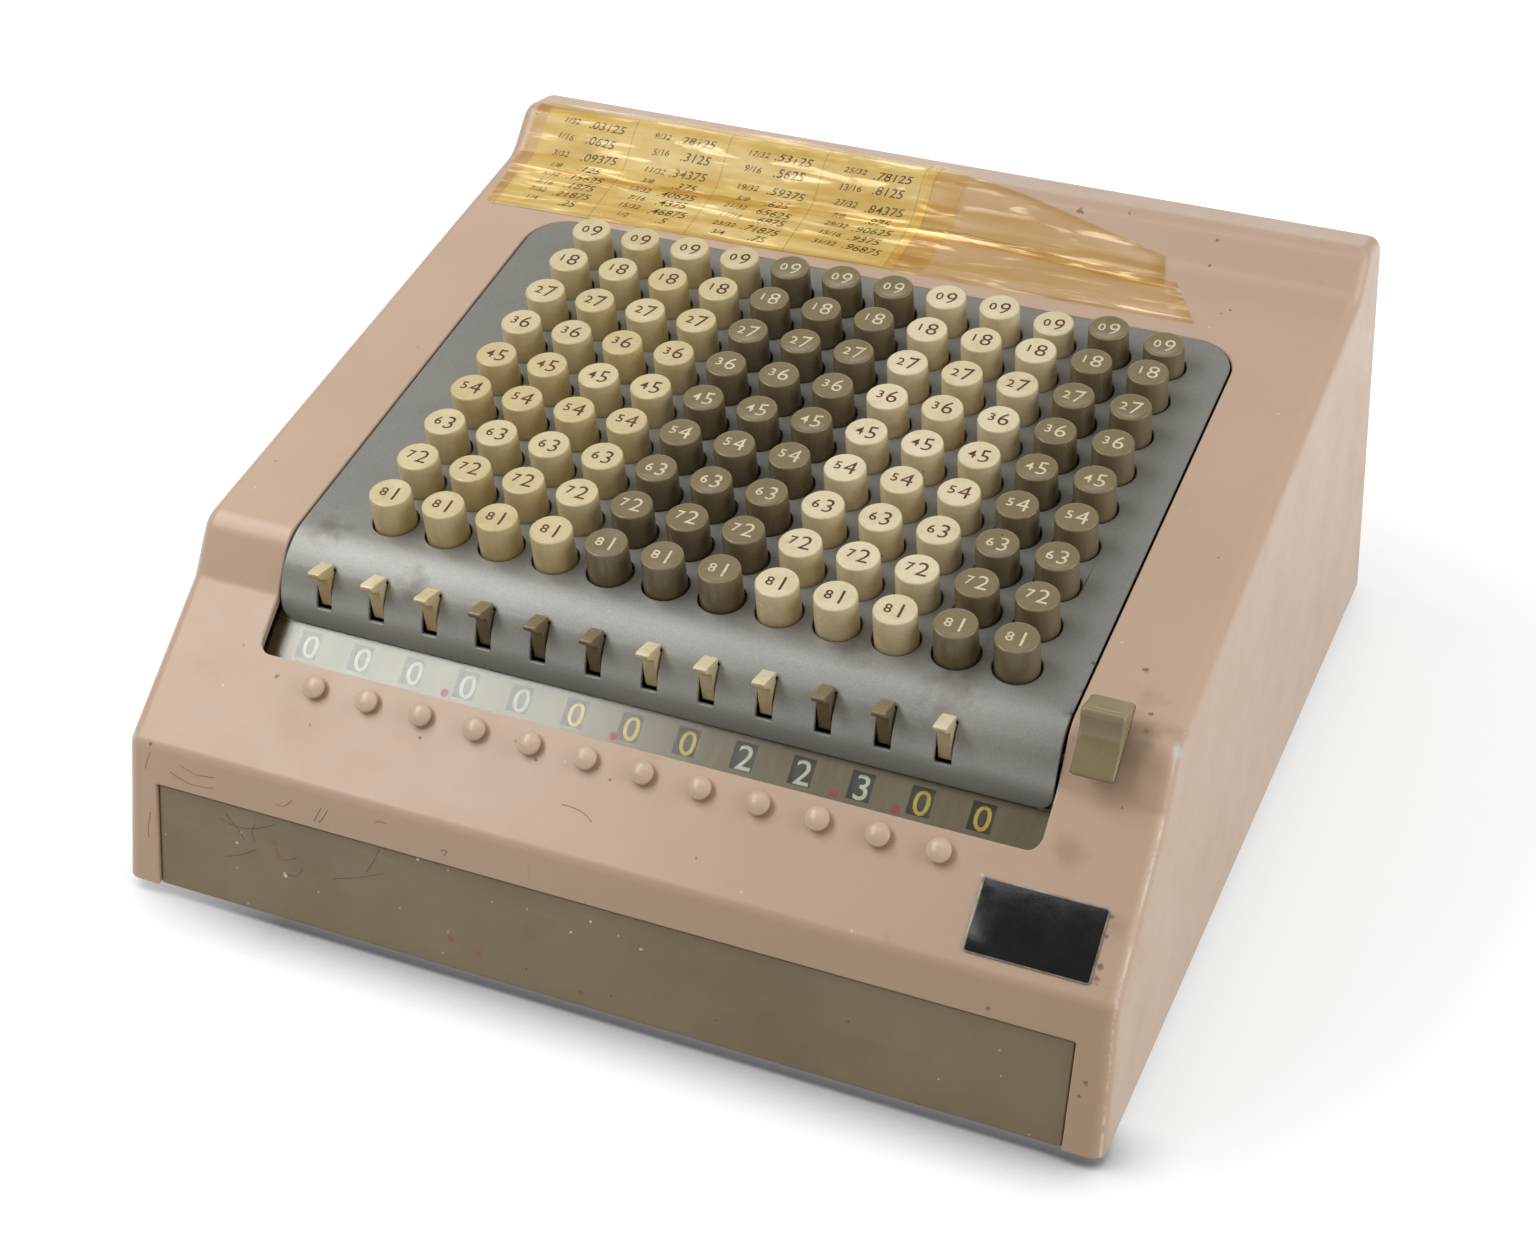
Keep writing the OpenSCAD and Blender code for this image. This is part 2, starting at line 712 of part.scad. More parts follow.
// Round key on its stem; odd keys have a dished top, even keys a flat one
module key(dished) {
    top_r = key_d / 2;
    foot_r = top_r + key_flare / 2;
    skirt = board_t + 2;
    ball_r = (pow(top_r - 0.8, 2) + dish * dish) / (2 * dish);
    difference() {
        rotate_extrude()
            polygon([
                [0, -skirt], [foot_r, -skirt], [foot_r, 0], [top_r, key_h - 0.7],
                [top_r - 0.2, key_h - 0.2], [top_r - 0.7, key_h], [0, key_h]]);
        if (dished)
            translate([0, 0, key_h - dish + ball_r])
                sphere(ball_r, $fn = 64);
    }
    translate([0, 0, -guide_depth - guide_t - key_travel - 2])
        cylinder(h = guide_depth + guide_t + key_travel + 2, d = stem_d);
}

// All keys of one digit, counted from the front
module key_row(row) {
    for (c = [1:columns])
        color(brown_key(c) ? key_brown : key_cream)
            on_board(key_at(c), (row - 1) * row_pitch, worn_key(c, row) ? -worn_drop : 0)
                key(row % 2 == 1);
}

// Lever whose beak stands out of its slot in the rolled front
module lever(i) {
    hub_r = lever_shaft_d / 2 + 2;
    color(brown_lever(i) ? key_brown : key_cream)
        translate([lever_at(i), 0, 0])
            along_x(lever_t)
                difference() {
                    union() {
                        polygon([
                            lever_c + [1, hub_r], roll_c + polar(roll_r + 0.4, 141.2),
                            roll_c + polar(roll_r + 0.4, 137.2), roll_c + polar(roll_r + 1.4, 135.6),
                            roll_c + polar(roll_r + 6.6, 141.4), roll_c + polar(roll_r + 7.6, 142.8),
                            roll_c + polar(roll_r + 7.9, 144.2), roll_c + polar(roll_r + 7.2, 146.2),
                            roll_c + polar(roll_r + 6, 146.6), roll_c + polar(roll_r + 1.9, 153.2),
                            lever_c + [-12.2, -1.1], lever_c + [-1.5, -hub_r]]);
                        translate(lever_c)
                            circle(hub_r);
                    }
                    translate(lever_c)
                        circle(d = lever_shaft_d + 2 * run_gap);
                }
}

// Wheel with ten digits round its rim, and its gear
module number_wheel(i) {
    bore_r = wheel_shaft_d / 2 + run_gap;
    hub_r = wheel_shaft_d / 2 + 2.5;
    hub_l = key_pitch - 0.4;
    color(black_drum)
        translate([wheel_at(i), wheel_c.x, wheel_c.y])
            rotate([90, 0, 90])
                difference() {
                    union() {
                        rotate_extrude()
                            difference() {
                                translate([0, -wheel_w / 2])
                                    square([wheel_r, wheel_w]);
                                for (side = [-1, 1])
                                    translate([hub_r + 1, side * wheel_w / 2 - wheel_w / 2 + 1.2])
                                        square([wheel_r - hub_r - 3.4, wheel_w - 2.4]);
                            }
                        translate([0, 0, -wheel_w / 2])
                            cylinder(h = hub_l / 2 + wheel_w / 2, r = hub_r);
                        translate([0, 0, wheel_w / 2 - 0.5])
                            linear_extrude(4)
                                polygon(gear_points(20, 8, 9.8));
                    }
                    translate([0, 0, -key_pitch])
                        cylinder(h = 2 * key_pitch, r = bore_r);
                }
}

// Small domed button that sets the decimal point
module point_button(i) {
    r = button_d / 2;
    head_z = button_travel + 0.3;
    rim_h = 1.1;
    dome_h = 1.3;
    dome_r = (r * r + dome_h * dome_h) / (2 * dome_h);
    collar_z = -wall - 0.5;
    color(enamel)
        on_apron(button_at(i), button_up, 0) {
            intersection() {
                translate([0, 0, head_z])
                    cylinder(h = rim_h + dome_h, r = r);
                translate([0, 0, head_z + rim_h + dome_h - dome_r])
                    sphere(dome_r, $fn = 64);
            }
            translate([0, 0, collar_z - 4])
                cylinder(h = head_z - collar_z + 4.5, d = button_stem_d);
            translate([0, 0, collar_z - 1.2])
                cylinder(h = 1.2, d = button_stem_d + 2.4);
        }
}

casing();
front_panel();
keyboard_plate();
register_window();
register_mask();
base_plate();
feet();
side_frames();
stem_guide();
cross_rods();
motor();
drive_shaft();
case_screws();
clear_key();
for (i = [1:rows]) key_row(i);
for (i = [1:columns]) lever(i);
for (i = [1:wheels]) number_wheel(i);
for (i = [1:columns]) point_button(i);
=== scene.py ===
import json
import math
import random

import bpy
from mathutils import Matrix, Vector


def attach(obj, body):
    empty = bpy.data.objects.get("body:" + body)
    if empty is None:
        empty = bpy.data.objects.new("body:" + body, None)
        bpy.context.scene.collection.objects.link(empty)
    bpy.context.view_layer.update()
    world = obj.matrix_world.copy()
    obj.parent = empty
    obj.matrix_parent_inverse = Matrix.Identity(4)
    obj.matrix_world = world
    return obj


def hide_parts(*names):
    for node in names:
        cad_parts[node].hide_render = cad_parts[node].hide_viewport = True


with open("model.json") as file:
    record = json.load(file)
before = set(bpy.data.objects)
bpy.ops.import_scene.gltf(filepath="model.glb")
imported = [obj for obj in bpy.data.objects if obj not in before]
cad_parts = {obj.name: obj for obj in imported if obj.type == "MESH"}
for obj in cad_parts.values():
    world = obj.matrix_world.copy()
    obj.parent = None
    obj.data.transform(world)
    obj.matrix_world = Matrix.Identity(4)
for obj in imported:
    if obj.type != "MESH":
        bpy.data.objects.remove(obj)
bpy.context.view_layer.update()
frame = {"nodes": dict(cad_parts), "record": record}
nodes = frame["nodes"]
mm = 0.001
random.seed(11)
print("frame loaded:", len(nodes), "nodes")

# three working planes of the machine, in mm: x to the right, y up the slope, z out of it
slopes = {"board": (-88.656, 112.308, 10.2), "apron": (-158.599, 55.0, 40.5),
          "front": (-158.599, 55.0, 80.1)}


def planeFrame(name):
    y, z, tilt = slopes[name]
    return Matrix.Translation((0, y * mm, z * mm)) @ Matrix.Rotation(math.radians(tilt), 4, "X")


boardFrame, apronFrame, frontFrame = (planeFrame(name) for name in ("board", "apron", "front"))


def place(x, y, z):
    return Matrix.Translation((x * mm, y * mm, z * mm))


def deselectAll():
    if bpy.context.object and bpy.context.object.mode != "OBJECT":
        bpy.ops.object.mode_set(mode="OBJECT")
    bpy.ops.object.select_all(action="DESELECT")


def pick(obj):
    deselectAll()
    obj.select_set(True)
    bpy.context.view_layer.objects.active = obj


def editSelected(obj, kind, test):
    # opens edit mode with only the faces, edges or vertices selected that pass the test
    pick(obj)
    bpy.ops.object.mode_set(mode="EDIT")
    bpy.ops.mesh.select_mode(type=kind)
    bpy.ops.mesh.select_all(action="DESELECT")
    bpy.ops.object.mode_set(mode="OBJECT")
    for item in {"FACE": obj.data.polygons, "EDGE": obj.data.edges, "VERT": obj.data.vertices}[kind]:
        item.select = test(item)
    bpy.ops.object.mode_set(mode="EDIT")


def applyModifier(obj, kind, **settings):
    pick(obj)
    modifier = obj.modifiers.new("step", kind)
    for name, value in settings.items():
        setattr(modifier, name, value)
    bpy.ops.object.modifier_apply(modifier=modifier.name)


def smoothBy(obj, degrees):
    pick(obj)
    bpy.ops.object.shade_smooth_by_angle(angle=math.radians(degrees))


def newObject(name, mesh):
    obj = bpy.data.objects.new(name, mesh)
    bpy.context.scene.collection.objects.link(obj)
    return obj


def joinAll(name, parts):
    pick(parts[0])
    for part in parts[1:]:
        part.select_set(True)
    if len(parts) > 1:
        bpy.ops.object.join()
    parts[0].name = name
    parts[0].data.name = name
    return parts[0]


def mergedCopy(node, name):
    # the solid's own shape, merged, its flat faces whole
    obj = newObject(name, nodes[node].data.copy())
    pick(obj)
    bpy.ops.object.mode_set(mode="EDIT")
    bpy.ops.mesh.select_all(action="SELECT")
    bpy.ops.mesh.remove_doubles(threshold=0.00001)
    bpy.ops.mesh.dissolve_limited(angle_limit=math.radians(0.4))
    bpy.ops.object.mode_set(mode="OBJECT")
    return obj


def breakEdges(obj, bevel, segments=2, angle=38, smooth=38, skip=None):
    # rounds the sharp edges as on the real piece, apart from those the skip test names
    pick(obj)
    bpy.ops.object.mode_set(mode="EDIT")
    bpy.ops.mesh.select_mode(type="EDGE")
    bpy.ops.mesh.select_all(action="DESELECT")
    bpy.ops.mesh.edges_select_sharp(sharpness=math.radians(angle))
    if skip:
        bpy.ops.object.mode_set(mode="OBJECT")
        for edge in obj.data.edges:
            if edge.select and all(skip(obj.data.vertices[v].co) for v in edge.vertices):
                edge.select = False
        bpy.ops.object.mode_set(mode="EDIT")
    bpy.ops.mesh.bevel(offset=bevel * mm, segments=segments, affect="EDGES", clamp_overlap=False,
                       miter_outer="ARC")
    bpy.ops.object.mode_set(mode="OBJECT")
    smoothBy(obj, smooth)
    applyModifier(obj, "WEIGHTED_NORMAL", keep_sharp=True, weight=80)


def settle(obj, body, material, slot, *stands):
    obj.data.materials.clear()
    obj.data.materials.append(material)
    if stands:
        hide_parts(*stands)
    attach(obj, body)


def hexColour(text):
    # sRGB hex to linear
    parts = [int(text[i:i + 2], 16) / 255 for i in (1, 3, 5)]
    return tuple(c / 12.92 if c <= 0.04045 else ((c + 0.055) / 1.055) ** 2.4 for c in parts) + (1.0,)


def fill(tree, node, values):
    # fills inputs by name or number: a node gives its first output, a text is a hex colour
    for name, value in values.items():
        if isinstance(value, bpy.types.Node):
            value = value.outputs[0]
        if isinstance(value, bpy.types.NodeSocket):
            tree.links.new(value, node.inputs[name])
        else:
            node.inputs[name].default_value = hexColour(value) if isinstance(value, str) else value


def addNode(tree, kind, values=None, **settings):
    node = tree.nodes.new("ShaderNode" + kind)
    for name, value in settings.items():
        setattr(node, name, value)
    fill(tree, node, values or {})
    return node


def newMaterial(name, colour, roughness):
    material = bpy.data.materials.new(name)
    material.use_nodes = True
    material.diffuse_color = hexColour(colour)
    tree = material.node_tree
    shader = tree.nodes["Principled BSDF"]
    fill(tree, shader, {"Base Color": colour, "Roughness": roughness})
    return material, tree, shader, addNode(tree, "TexCoord").outputs["Object"]


def perMm(size):
    # texture scale for a pattern of that size in millimetres
    return 1000.0 / size


def spotShare(tree, where, spots, soft, ragged, strength=1.0):
    # how far a point lies in any spot (x, y, z, radius in mm); soft is the share of the radius that fades
    noise = addNode(tree, "TexNoise", {"Vector": where, "Scale": perMm(ragged), "Detail": 4.0})
    shift = addNode(tree, "Math", {0: noise, 1: 0.5}, operation="SUBTRACT")
    total = None
    for x, y, z, radius in spots:
        reach = radius * mm
        away = addNode(tree, "VectorMath", {0: where, 1: (x * mm, y * mm, z * mm)}, operation="DISTANCE")
        rough = addNode(tree, "Math", {0: shift, 1: 2.4 * reach, 2: away.outputs["Value"]},
                        operation="MULTIPLY_ADD")
        share = addNode(tree, "MapRange",
                        {0: rough, 1: (1 - soft) * reach, 2: reach, 3: strength, 4: 0.0})
        total = addNode(tree, "Math", {0: total, 1: share}, operation="MAXIMUM") if total else share
    return total


def specks(tree, where, size, rarity, near, far, strength, **settings):
    # dots in some cells of that size in mm: their share, and the random numbers of the cells
    cells = addNode(tree, "TexVoronoi", {"Vector": where, "Scale": perMm(size)}, **settings)
    chance = addNode(tree, "SeparateColor", {0: cells.outputs["Color"]})
    rare = addNode(tree, "Math", {0: chance, 1: rarity}, operation="GREATER_THAN")
    dot = addNode(tree, "MapRange", {0: cells.outputs["Distance"], 1: near, 2: far, 3: strength, 4: 0.0})
    return addNode(tree, "Math", {0: dot, 1: rare}, operation="MULTIPLY"), chance


# marks of use on the enamel, each with its radius
enamelMarks = {"chips": ((59.1, 120.4, 159.3, 1.3), (76.5, 122.1, 161.3, 0.8), (108.7, 113.3, 151.1, 0.7),
                         (108.9, 119.2, 158.0, 0.7), (144.9, -78.2, 114.2, 1.2),
                         (151.4, -94.7, 111.2, 0.9), (-121.3, -134.6, 75.5, 0.8),
                         (-66.7, -140.3, 70.6, 0.7), (-27.3, -138.3, 72.3, 0.6),
                         (-2.1, -138.5, 72.2, 0.6), (159.0, -163.2, 28.9, 0.9),
                         (157.5, -164.0, 24.1, 0.7), (164.4, -163.8, 25.1, 0.7),
                         (121.3, 94.5, 145.3, 0.6), (-156.0, -158.5, 55.0, 0.8),
                         (127.8, -160.4, 44.0, 0.8)),
               "bare": ((161.8, -103.0, 106.5, 2.2), (161.9, -96.0, 108.0, 1.0),
                        (163.8, -150.0, 63.5, 1.2), (163.2, -164.5, 6.0, 2.0),
                        (-163.2, -157.0, 56.0, 1.6), (163.6, -146.0, 65.5, 0.9)),
               "rust": ((156.2, -139.5, 71.3, 0.9), (156.4, -144.0, 67.4, 0.8),
                        (157.0, -150.6, 61.8, 1.3), (156.6, -153.6, 59.3, 1.7),
                        (152.0, -101.5, 109.5, 1.3)),
               # grime spots; the first, second and fifth, round the clear key, are grime and painted
               # shadow of the key
               "grime": ((151.0, -103.0, 108.5, 11.0), (149.0, -88.0, 112.3, 6.0),
                         (139.0, -128.0, 81.0, 7.0), (157.0, -141.0, 70.0, 6.0),
                         (159.0, -99.0, 109.0, 6.0), (-140.0, 92.0, 144.8, 8.0))}


def enamel():
    # stoved enamel on pressed steel: satin with a faint orange peel, grimy in patches, chipped to metal;
    # a painted shadow in brown round the clear key
    material, tree, shader, where = newMaterial("stovedEnamel", "#c6ac94", 0.4)
    facing = addNode(tree, "NewGeometry").outputs["Normal"]
    turn = addNode(tree, "SeparateXYZ", {0: facing})
    cloud = addNode(tree, "TexNoise", {"Vector": where, "Scale": perMm(140), "Detail": 3.0})
    cloudShare = addNode(tree, "MapRange", {0: cloud, 1: 0.35, 2: 0.7})
    colour = addNode(tree, "Mix", {0: cloudShare, 6: "#c9af9b", 7: "#c2a891"},
                     data_type="RGBA").outputs[2]
    dirt = addNode(tree, "TexNoise",
                   {"Vector": where, "Scale": perMm(24), "Detail": 8.0, "Roughness": 0.7})
    dirtShare = addNode(tree, "MapRange", {0: dirt, 1: 0.55, 2: 0.85, 4: 0.25})
    colour = addNode(tree, "Mix", {0: dirtShare, 6: colour, 7: "#ab9079"}, data_type="RGBA").outputs[2]
    # grime patches, those round the clear key also a painted shadow
    colour = addNode(tree, "Mix",
                     {0: spotShare(tree, where, enamelMarks["grime"], 1.0, 7, 0.4), 6: colour,
                      7: "#8d735b"},
                     data_type="RGBA").outputs[2]
    # specks under a millimetre on what faces up, in about a seventh of 17 mm cells
    speck, chance = specks(tree, where, 17, 0.85, 0.014, 0.03, 0.7, voronoi_dimensions="2D")
    upward = addNode(tree, "Math", {0: turn.outputs[2], 1: 0.5}, operation="GREATER_THAN")
    speckUp = addNode(tree, "Math", {0: speck, 1: upward}, operation="MULTIPLY")
    speckTone = addNode(tree, "Math", {0: chance.outputs[1], 1: 0.7}, operation="GREATER_THAN")
    speckColour = addNode(tree, "Mix", {0: speckTone, 6: "#7a6252", 7: "#e2d8cc"},
                          data_type="RGBA").outputs[2]
    colour = addNode(tree, "Mix", {0: speckUp, 6: colour, 7: speckColour}, data_type="RGBA").outputs[2]
    # rubbed pale along the corner of the apron and the sides
    side = addNode(tree, "Math", {0: turn}, operation="ABSOLUTE")
    off = addNode(tree, "Math", {0: side, 1: 0.74}, operation="SUBTRACT")
    offSize = addNode(tree, "Math", {0: off}, operation="ABSOLUTE")
    edge = addNode(tree, "MapRange", {0: offSize, 1: 0.02, 2: 0.13, 3: 0.85, 4: 0.0})
    spot = addNode(tree, "SeparateXYZ", {0: where})
    low = addNode(tree, "MapRange", {0: spot.outputs[1], 1: -0.112, 2: -0.1, 3: 1.0, 4: 0.12})
    rub = addNode(tree, "TexNoise",
                  {"Vector": where, "Scale": perMm(12), "Detail": 7.0, "Roughness": 0.8})
    rubShare = addNode(tree, "MapRange", {0: rub, 1: 0.46, 2: 0.55})
    wear = addNode(tree, "Math", {0: edge, 1: rubShare}, operation="MULTIPLY")
    wearLow = addNode(tree, "Math", {0: wear, 1: low}, operation="MULTIPLY")
    colour = addNode(tree, "Mix", {0: wearLow, 6: colour, 7: "#e2d3c5"}, data_type="RGBA").outputs[2]
    # hair scratches, drawn wide enough to show
    stretched = addNode(tree, "Mapping",
                        {"Vector": where, "Rotation": (0.3, 0.2, 0.5), "Scale": (1.0, 7.0, 7.0)})
    lines = addNode(tree, "TexVoronoi", {"Vector": stretched, "Scale": perMm(220)},
                    feature="DISTANCE_TO_EDGE")
    line = addNode(tree, "MapRange", {0: lines, 1: 0.0, 2: 0.004, 3: 1.0, 4: 0.0})
    gap = addNode(tree, "TexNoise", {"Vector": where, "Scale": perMm(18), "Detail": 3.0})
    lineShare = addNode(tree, "MapRange", {0: gap, 1: 0.58, 2: 0.68, 4: 0.25})
    scratch = addNode(tree, "Math", {0: line, 1: lineShare}, operation="MULTIPLY")
    colour = addNode(tree, "Mix", {0: scratch, 6: colour, 7: "#9b8371"}, data_type="RGBA").outputs[2]
    colour = addNode(tree, "Mix",
                     {0: spotShare(tree, where, enamelMarks["rust"], 0.8, 1.8, 0.8), 6: colour,
                      7: "#7b5233"},
                     data_type="RGBA").outputs[2]
    colour = addNode(tree, "Mix",
                     {0: spotShare(tree, where, enamelMarks["bare"], 0.35, 2.2, 0.9), 6: colour,
                      7: "#bcc4c1"},
                     data_type="RGBA").outputs[2]
    chips = spotShare(tree, where, enamelMarks["chips"], 0.4, 1.1, 0.75)
    colour = addNode(tree, "Mix", {0: chips, 6: colour, 7: "#6b5140"}, data_type="RGBA").outputs[2]
    gloss = addNode(tree, "MapRange", {0: dirt, 1: 0.3, 2: 0.8, 3: 0.32, 4: 0.52})
    peel = addNode(tree, "TexNoise", {"Vector": where, "Scale": perMm(2.2), "Detail": 2.0})
    dent = addNode(tree, "Math", {0: chips, 1: -1.5, 2: peel}, operation="MULTIPLY_ADD")
    bump = addNode(tree, "Bump", {"Strength": 0.07, "Distance": 0.0003, "Height": dent})
    fill(tree, shader,
         {"Base Color": colour, "Roughness": gloss, "Normal": bump, "Coat Weight": 0.1,
          "Coat Roughness": 0.22})
    return material


panelMarks = {"red": ((-47.0, -164.4, 14.5, 1.5), (-37.5, -164.8, 12.0, 1.8), (-1.5, -165.3, 9.0, 1.3)),
              "rub": ((-100.0, -162.0, 30.0, 26.0), (60.0, -163.0, 20.0, 30.0),
                      (-20.0, -162.0, 24.0, 5.0)),
              "white": ((-107.0, -163.4, 20.3, 0.8), (-124.8, -162.3, 27.0, 0.6),
                        (-5.6, -161.9, 29.1, 0.6), (18.1, -161.7, 30.2, 0.7), (0.8, -160.9, 34.7, 0.5),
                        (-59.2, -160.1, 39.4, 0.6))}


def panelPaint():
    # brown satin paint, dusty, with pale paint specks, red smudges and fine rubs
    material, tree, shader, where = newMaterial("brownPanelPaint", "#8c7e67", 0.45)
    cloud = addNode(tree, "TexNoise",
                    {"Vector": where, "Scale": perMm(60), "Detail": 6.0, "Roughness": 0.65})
    share = addNode(tree, "MapRange", {0: cloud, 1: 0.3, 2: 0.75})
    colour = addNode(tree, "Mix", {0: share, 6: "#93856e", 7: "#87785f"}, data_type="RGBA").outputs[2]
    colour = addNode(tree, "Mix",
                     {0: spotShare(tree, where, panelMarks["rub"], 1.0, 14, 0.3), 6: colour,
                      7: "#72644e"},
                     data_type="RGBA").outputs[2]
    # specks, laid out on the panel's own face in 15 mm cells
    face = addNode(tree, "Mapping", {"Vector": where, "Rotation": (math.pi / 2, 0.0, 0.0)})
    speck, chance = specks(tree, face.outputs[0], 15, 0.55, 0.016, 0.032, 0.8, voronoi_dimensions="2D")
    speckTone = addNode(tree, "Math", {0: chance.outputs[1], 1: 0.4}, operation="GREATER_THAN")
    speckColour = addNode(tree, "Mix", {0: speckTone, 6: "#4d4130", 7: "#cfc6b4"},
                          data_type="RGBA").outputs[2]
    colour = addNode(tree, "Mix", {0: speck, 6: colour, 7: speckColour}, data_type="RGBA").outputs[2]
    colour = addNode(tree, "Mix",
                     {0: spotShare(tree, where, panelMarks["white"], 0.3, 1.2, 0.95), 6: colour,
                      7: "#e6dfd0"},
                     data_type="RGBA").outputs[2]
    stretched = addNode(tree, "Mapping",
                        {"Vector": where, "Rotation": (0.0, 0.25, 0.0), "Scale": (1.0, 6.0, 10.0)})
    rub = addNode(tree, "TexNoise", {"Vector": stretched, "Scale": perMm(40), "Detail": 7.0})
    rubShare = addNode(tree, "MapRange", {0: rub, 1: 0.6, 2: 0.72, 4: 0.25})
    colour = addNode(tree, "Mix", {0: rubShare, 6: colour, 7: "#9c8f78"}, data_type="RGBA").outputs[2]
    colour = addNode(tree, "Mix",
                     {0: spotShare(tree, where, panelMarks["red"], 0.9, 1.6, 0.6), 6: colour,
                      7: "#a5433a"},
                     data_type="RGBA").outputs[2]
    gloss = addNode(tree, "MapRange", {0: cloud, 1: 0.3, 2: 0.7, 3: 0.38, 4: 0.55})
    peel = addNode(tree, "TexNoise", {"Vector": where, "Scale": perMm(1.8), "Detail": 2.0})
    bump = addNode(tree, "Bump", {"Strength": 0.06, "Distance": 0.0003, "Height": peel})
    fill(tree, shader, {"Base Color": colour, "Roughness": gloss, "Normal": bump})
    return material


plateMarks = {"rust": ((129.4, -101.0, 108.6, 2.2), (129.6, -92.0, 111.2, 1.2),
                       (-91.5, -110.0, 101.5, 1.6), (129.6, -80.0, 113.5, 0.9),
                       (72.5, -108.0, 103.4, 1.2)),
              "grime": ((92.0, -100.0, 109.0, 11.0), (-84.0, -108.0, 104.0, 7.0),
                        (60.0, -95.0, 111.0, 9.0), (100.0, -82.0, 113.3, 8.0),
                        (-120.0, -98.0, 110.0, 9.0))}


def hammertone():
    # hammered paint with aluminium flake: a fine dimpled grain, a metallic sheen, grime between the keys
    material, tree, shader, where = newMaterial("hammeredGreyPaint", "#92918d", 0.42)
    flake = addNode(tree, "TexNoise", {"Vector": where, "Scale": perMm(0.6), "Detail": 2.0})
    flakeShare = addNode(tree, "MapRange", {0: flake, 1: 0.25, 2: 0.75})
    colour = addNode(tree, "Mix", {0: flakeShare, 6: "#8b8a88", 7: "#9b9a96"},
                     data_type="RGBA").outputs[2]
    grime = addNode(tree, "TexNoise",
                    {"Vector": where, "Scale": perMm(30), "Detail": 9.0, "Roughness": 0.7})
    grimeShare = addNode(tree, "MapRange", {0: grime, 1: 0.53, 2: 0.85, 4: 0.35})
    colour = addNode(tree, "Mix", {0: grimeShare, 6: colour, 7: "#6b6862"}, data_type="RGBA").outputs[2]
    rub = addNode(tree, "TexNoise",
                  {"Vector": where, "Scale": perMm(60), "Detail": 5.0, "Roughness": 0.6})
    rubShare = addNode(tree, "MapRange", {0: rub, 1: 0.52, 2: 0.78, 4: 0.4})
    colour = addNode(tree, "Mix", {0: rubShare, 6: colour, 7: "#a9a8a2"}, data_type="RGBA").outputs[2]
    colour = addNode(tree, "Mix",
                     {0: spotShare(tree, where, plateMarks["grime"], 1.0, 5, 0.5), 6: colour,
                      7: "#635b50"},
                     data_type="RGBA").outputs[2]
    colour = addNode(tree, "Mix",
                     {0: spotShare(tree, where, plateMarks["rust"], 0.8, 1.6, 0.8), 6: colour,
                      7: "#4a3526"},
                     data_type="RGBA").outputs[2]
    gloss = addNode(tree, "MapRange", {0: grime, 1: 0.3, 2: 0.75, 3: 0.38, 4: 0.52})
    dimple = addNode(tree, "TexNoise", {"Vector": where, "Scale": perMm(0.9), "Detail": 1.0})
    bump = addNode(tree, "Bump", {"Strength": 0.12, "Distance": 0.0003, "Height": dimple})
    fill(tree, shader, {"Base Color": colour, "Metallic": 0.4, "Roughness": gloss, "Normal": bump})
    return material


def keyPlastic(name, fresh, aged, grime, shine, flankShade):
    # moulded plastic: yellowed unevenly from key to key, polished on top, grimy near the plate; painted
    # shade on the flanks and towards the plate
    material, tree, shader, where = newMaterial(name, fresh, shine)
    tone = addNode(tree, "Attribute", attribute_name="keyTone").outputs["Fac"]
    height = addNode(tree, "Attribute", attribute_name="keyHeight").outputs["Fac"]
    colour = addNode(tree, "Mix", {0: tone, 6: fresh, 7: aged}, data_type="RGBA").outputs[2]
    cloud = addNode(tree, "TexNoise",
                    {"Vector": where, "Scale": perMm(7), "Detail": 7.0, "Roughness": 0.65})
    facing = addNode(tree, "NewGeometry").outputs["Normal"]
    turn = addNode(tree, "SeparateXYZ", {0: facing})
    # painted shade: faces turned sideways are mixed toward the grime colour, by flankShade at most
    flank = addNode(tree, "MapRange", {0: turn.outputs[2], 1: 0.3, 2: 0.8, 3: flankShade, 4: 0.0})
    colour = addNode(tree, "Mix", {0: flank, 6: colour, 7: grime}, data_type="RGBA").outputs[2]
    # darker towards the foot: grime in cloudy patches and painted shade where the keys close in on the
    # plate
    low = addNode(tree, "MapRange", {0: height, 1: 0.05, 2: 0.9, 3: 0.8, 4: 0.0})
    patch = addNode(tree, "MapRange", {0: cloud, 1: 0.5, 2: 0.8, 4: 0.4})
    dirt = addNode(tree, "Math", {0: low, 1: cloud, 2: patch}, operation="MULTIPLY_ADD", use_clamp=True)
    colour = addNode(tree, "Mix", {0: dirt, 6: colour, 7: grime}, data_type="RGBA").outputs[2]
    # pinhead dirt in about one of eight 6 mm cells
    speck, chance = specks(tree, where, 6, 0.88, 0.04, 0.09, 0.7)
    colour = addNode(tree, "Mix", {0: speck, 6: colour, 7: "#4a3a26"}, data_type="RGBA").outputs[2]
    gloss = addNode(tree, "MapRange", {0: cloud, 1: 0.3, 2: 0.7, 3: shine - 0.06, 4: shine + 0.12})
    grain = addNode(tree, "TexNoise", {"Vector": where, "Scale": perMm(1.2), "Detail": 3.0})
    bump = addNode(tree, "Bump", {"Strength": 0.05, "Distance": 0.0002, "Height": grain})
    fill(tree, shader, {"Base Color": colour, "Roughness": gloss, "Normal": bump, "IOR": 1.5})
    return material


def inkPaint(name, colour, faded, patch=2.5, roughness=0.5):
    # paint or ink laid on thinly, worn in patches
    material, tree, shader, where = newMaterial(name, colour, roughness)
    cloud = addNode(tree, "TexNoise", {"Vector": where, "Scale": perMm(patch), "Detail": 5.0})
    share = addNode(tree, "MapRange", {0: cloud, 1: 0.45, 2: 0.75, 4: 0.9})
    colour = addNode(tree, "Mix", {0: share, 6: colour, 7: faded}, data_type="RGBA").outputs[2]
    fill(tree, shader, {"Base Color": colour})
    return material


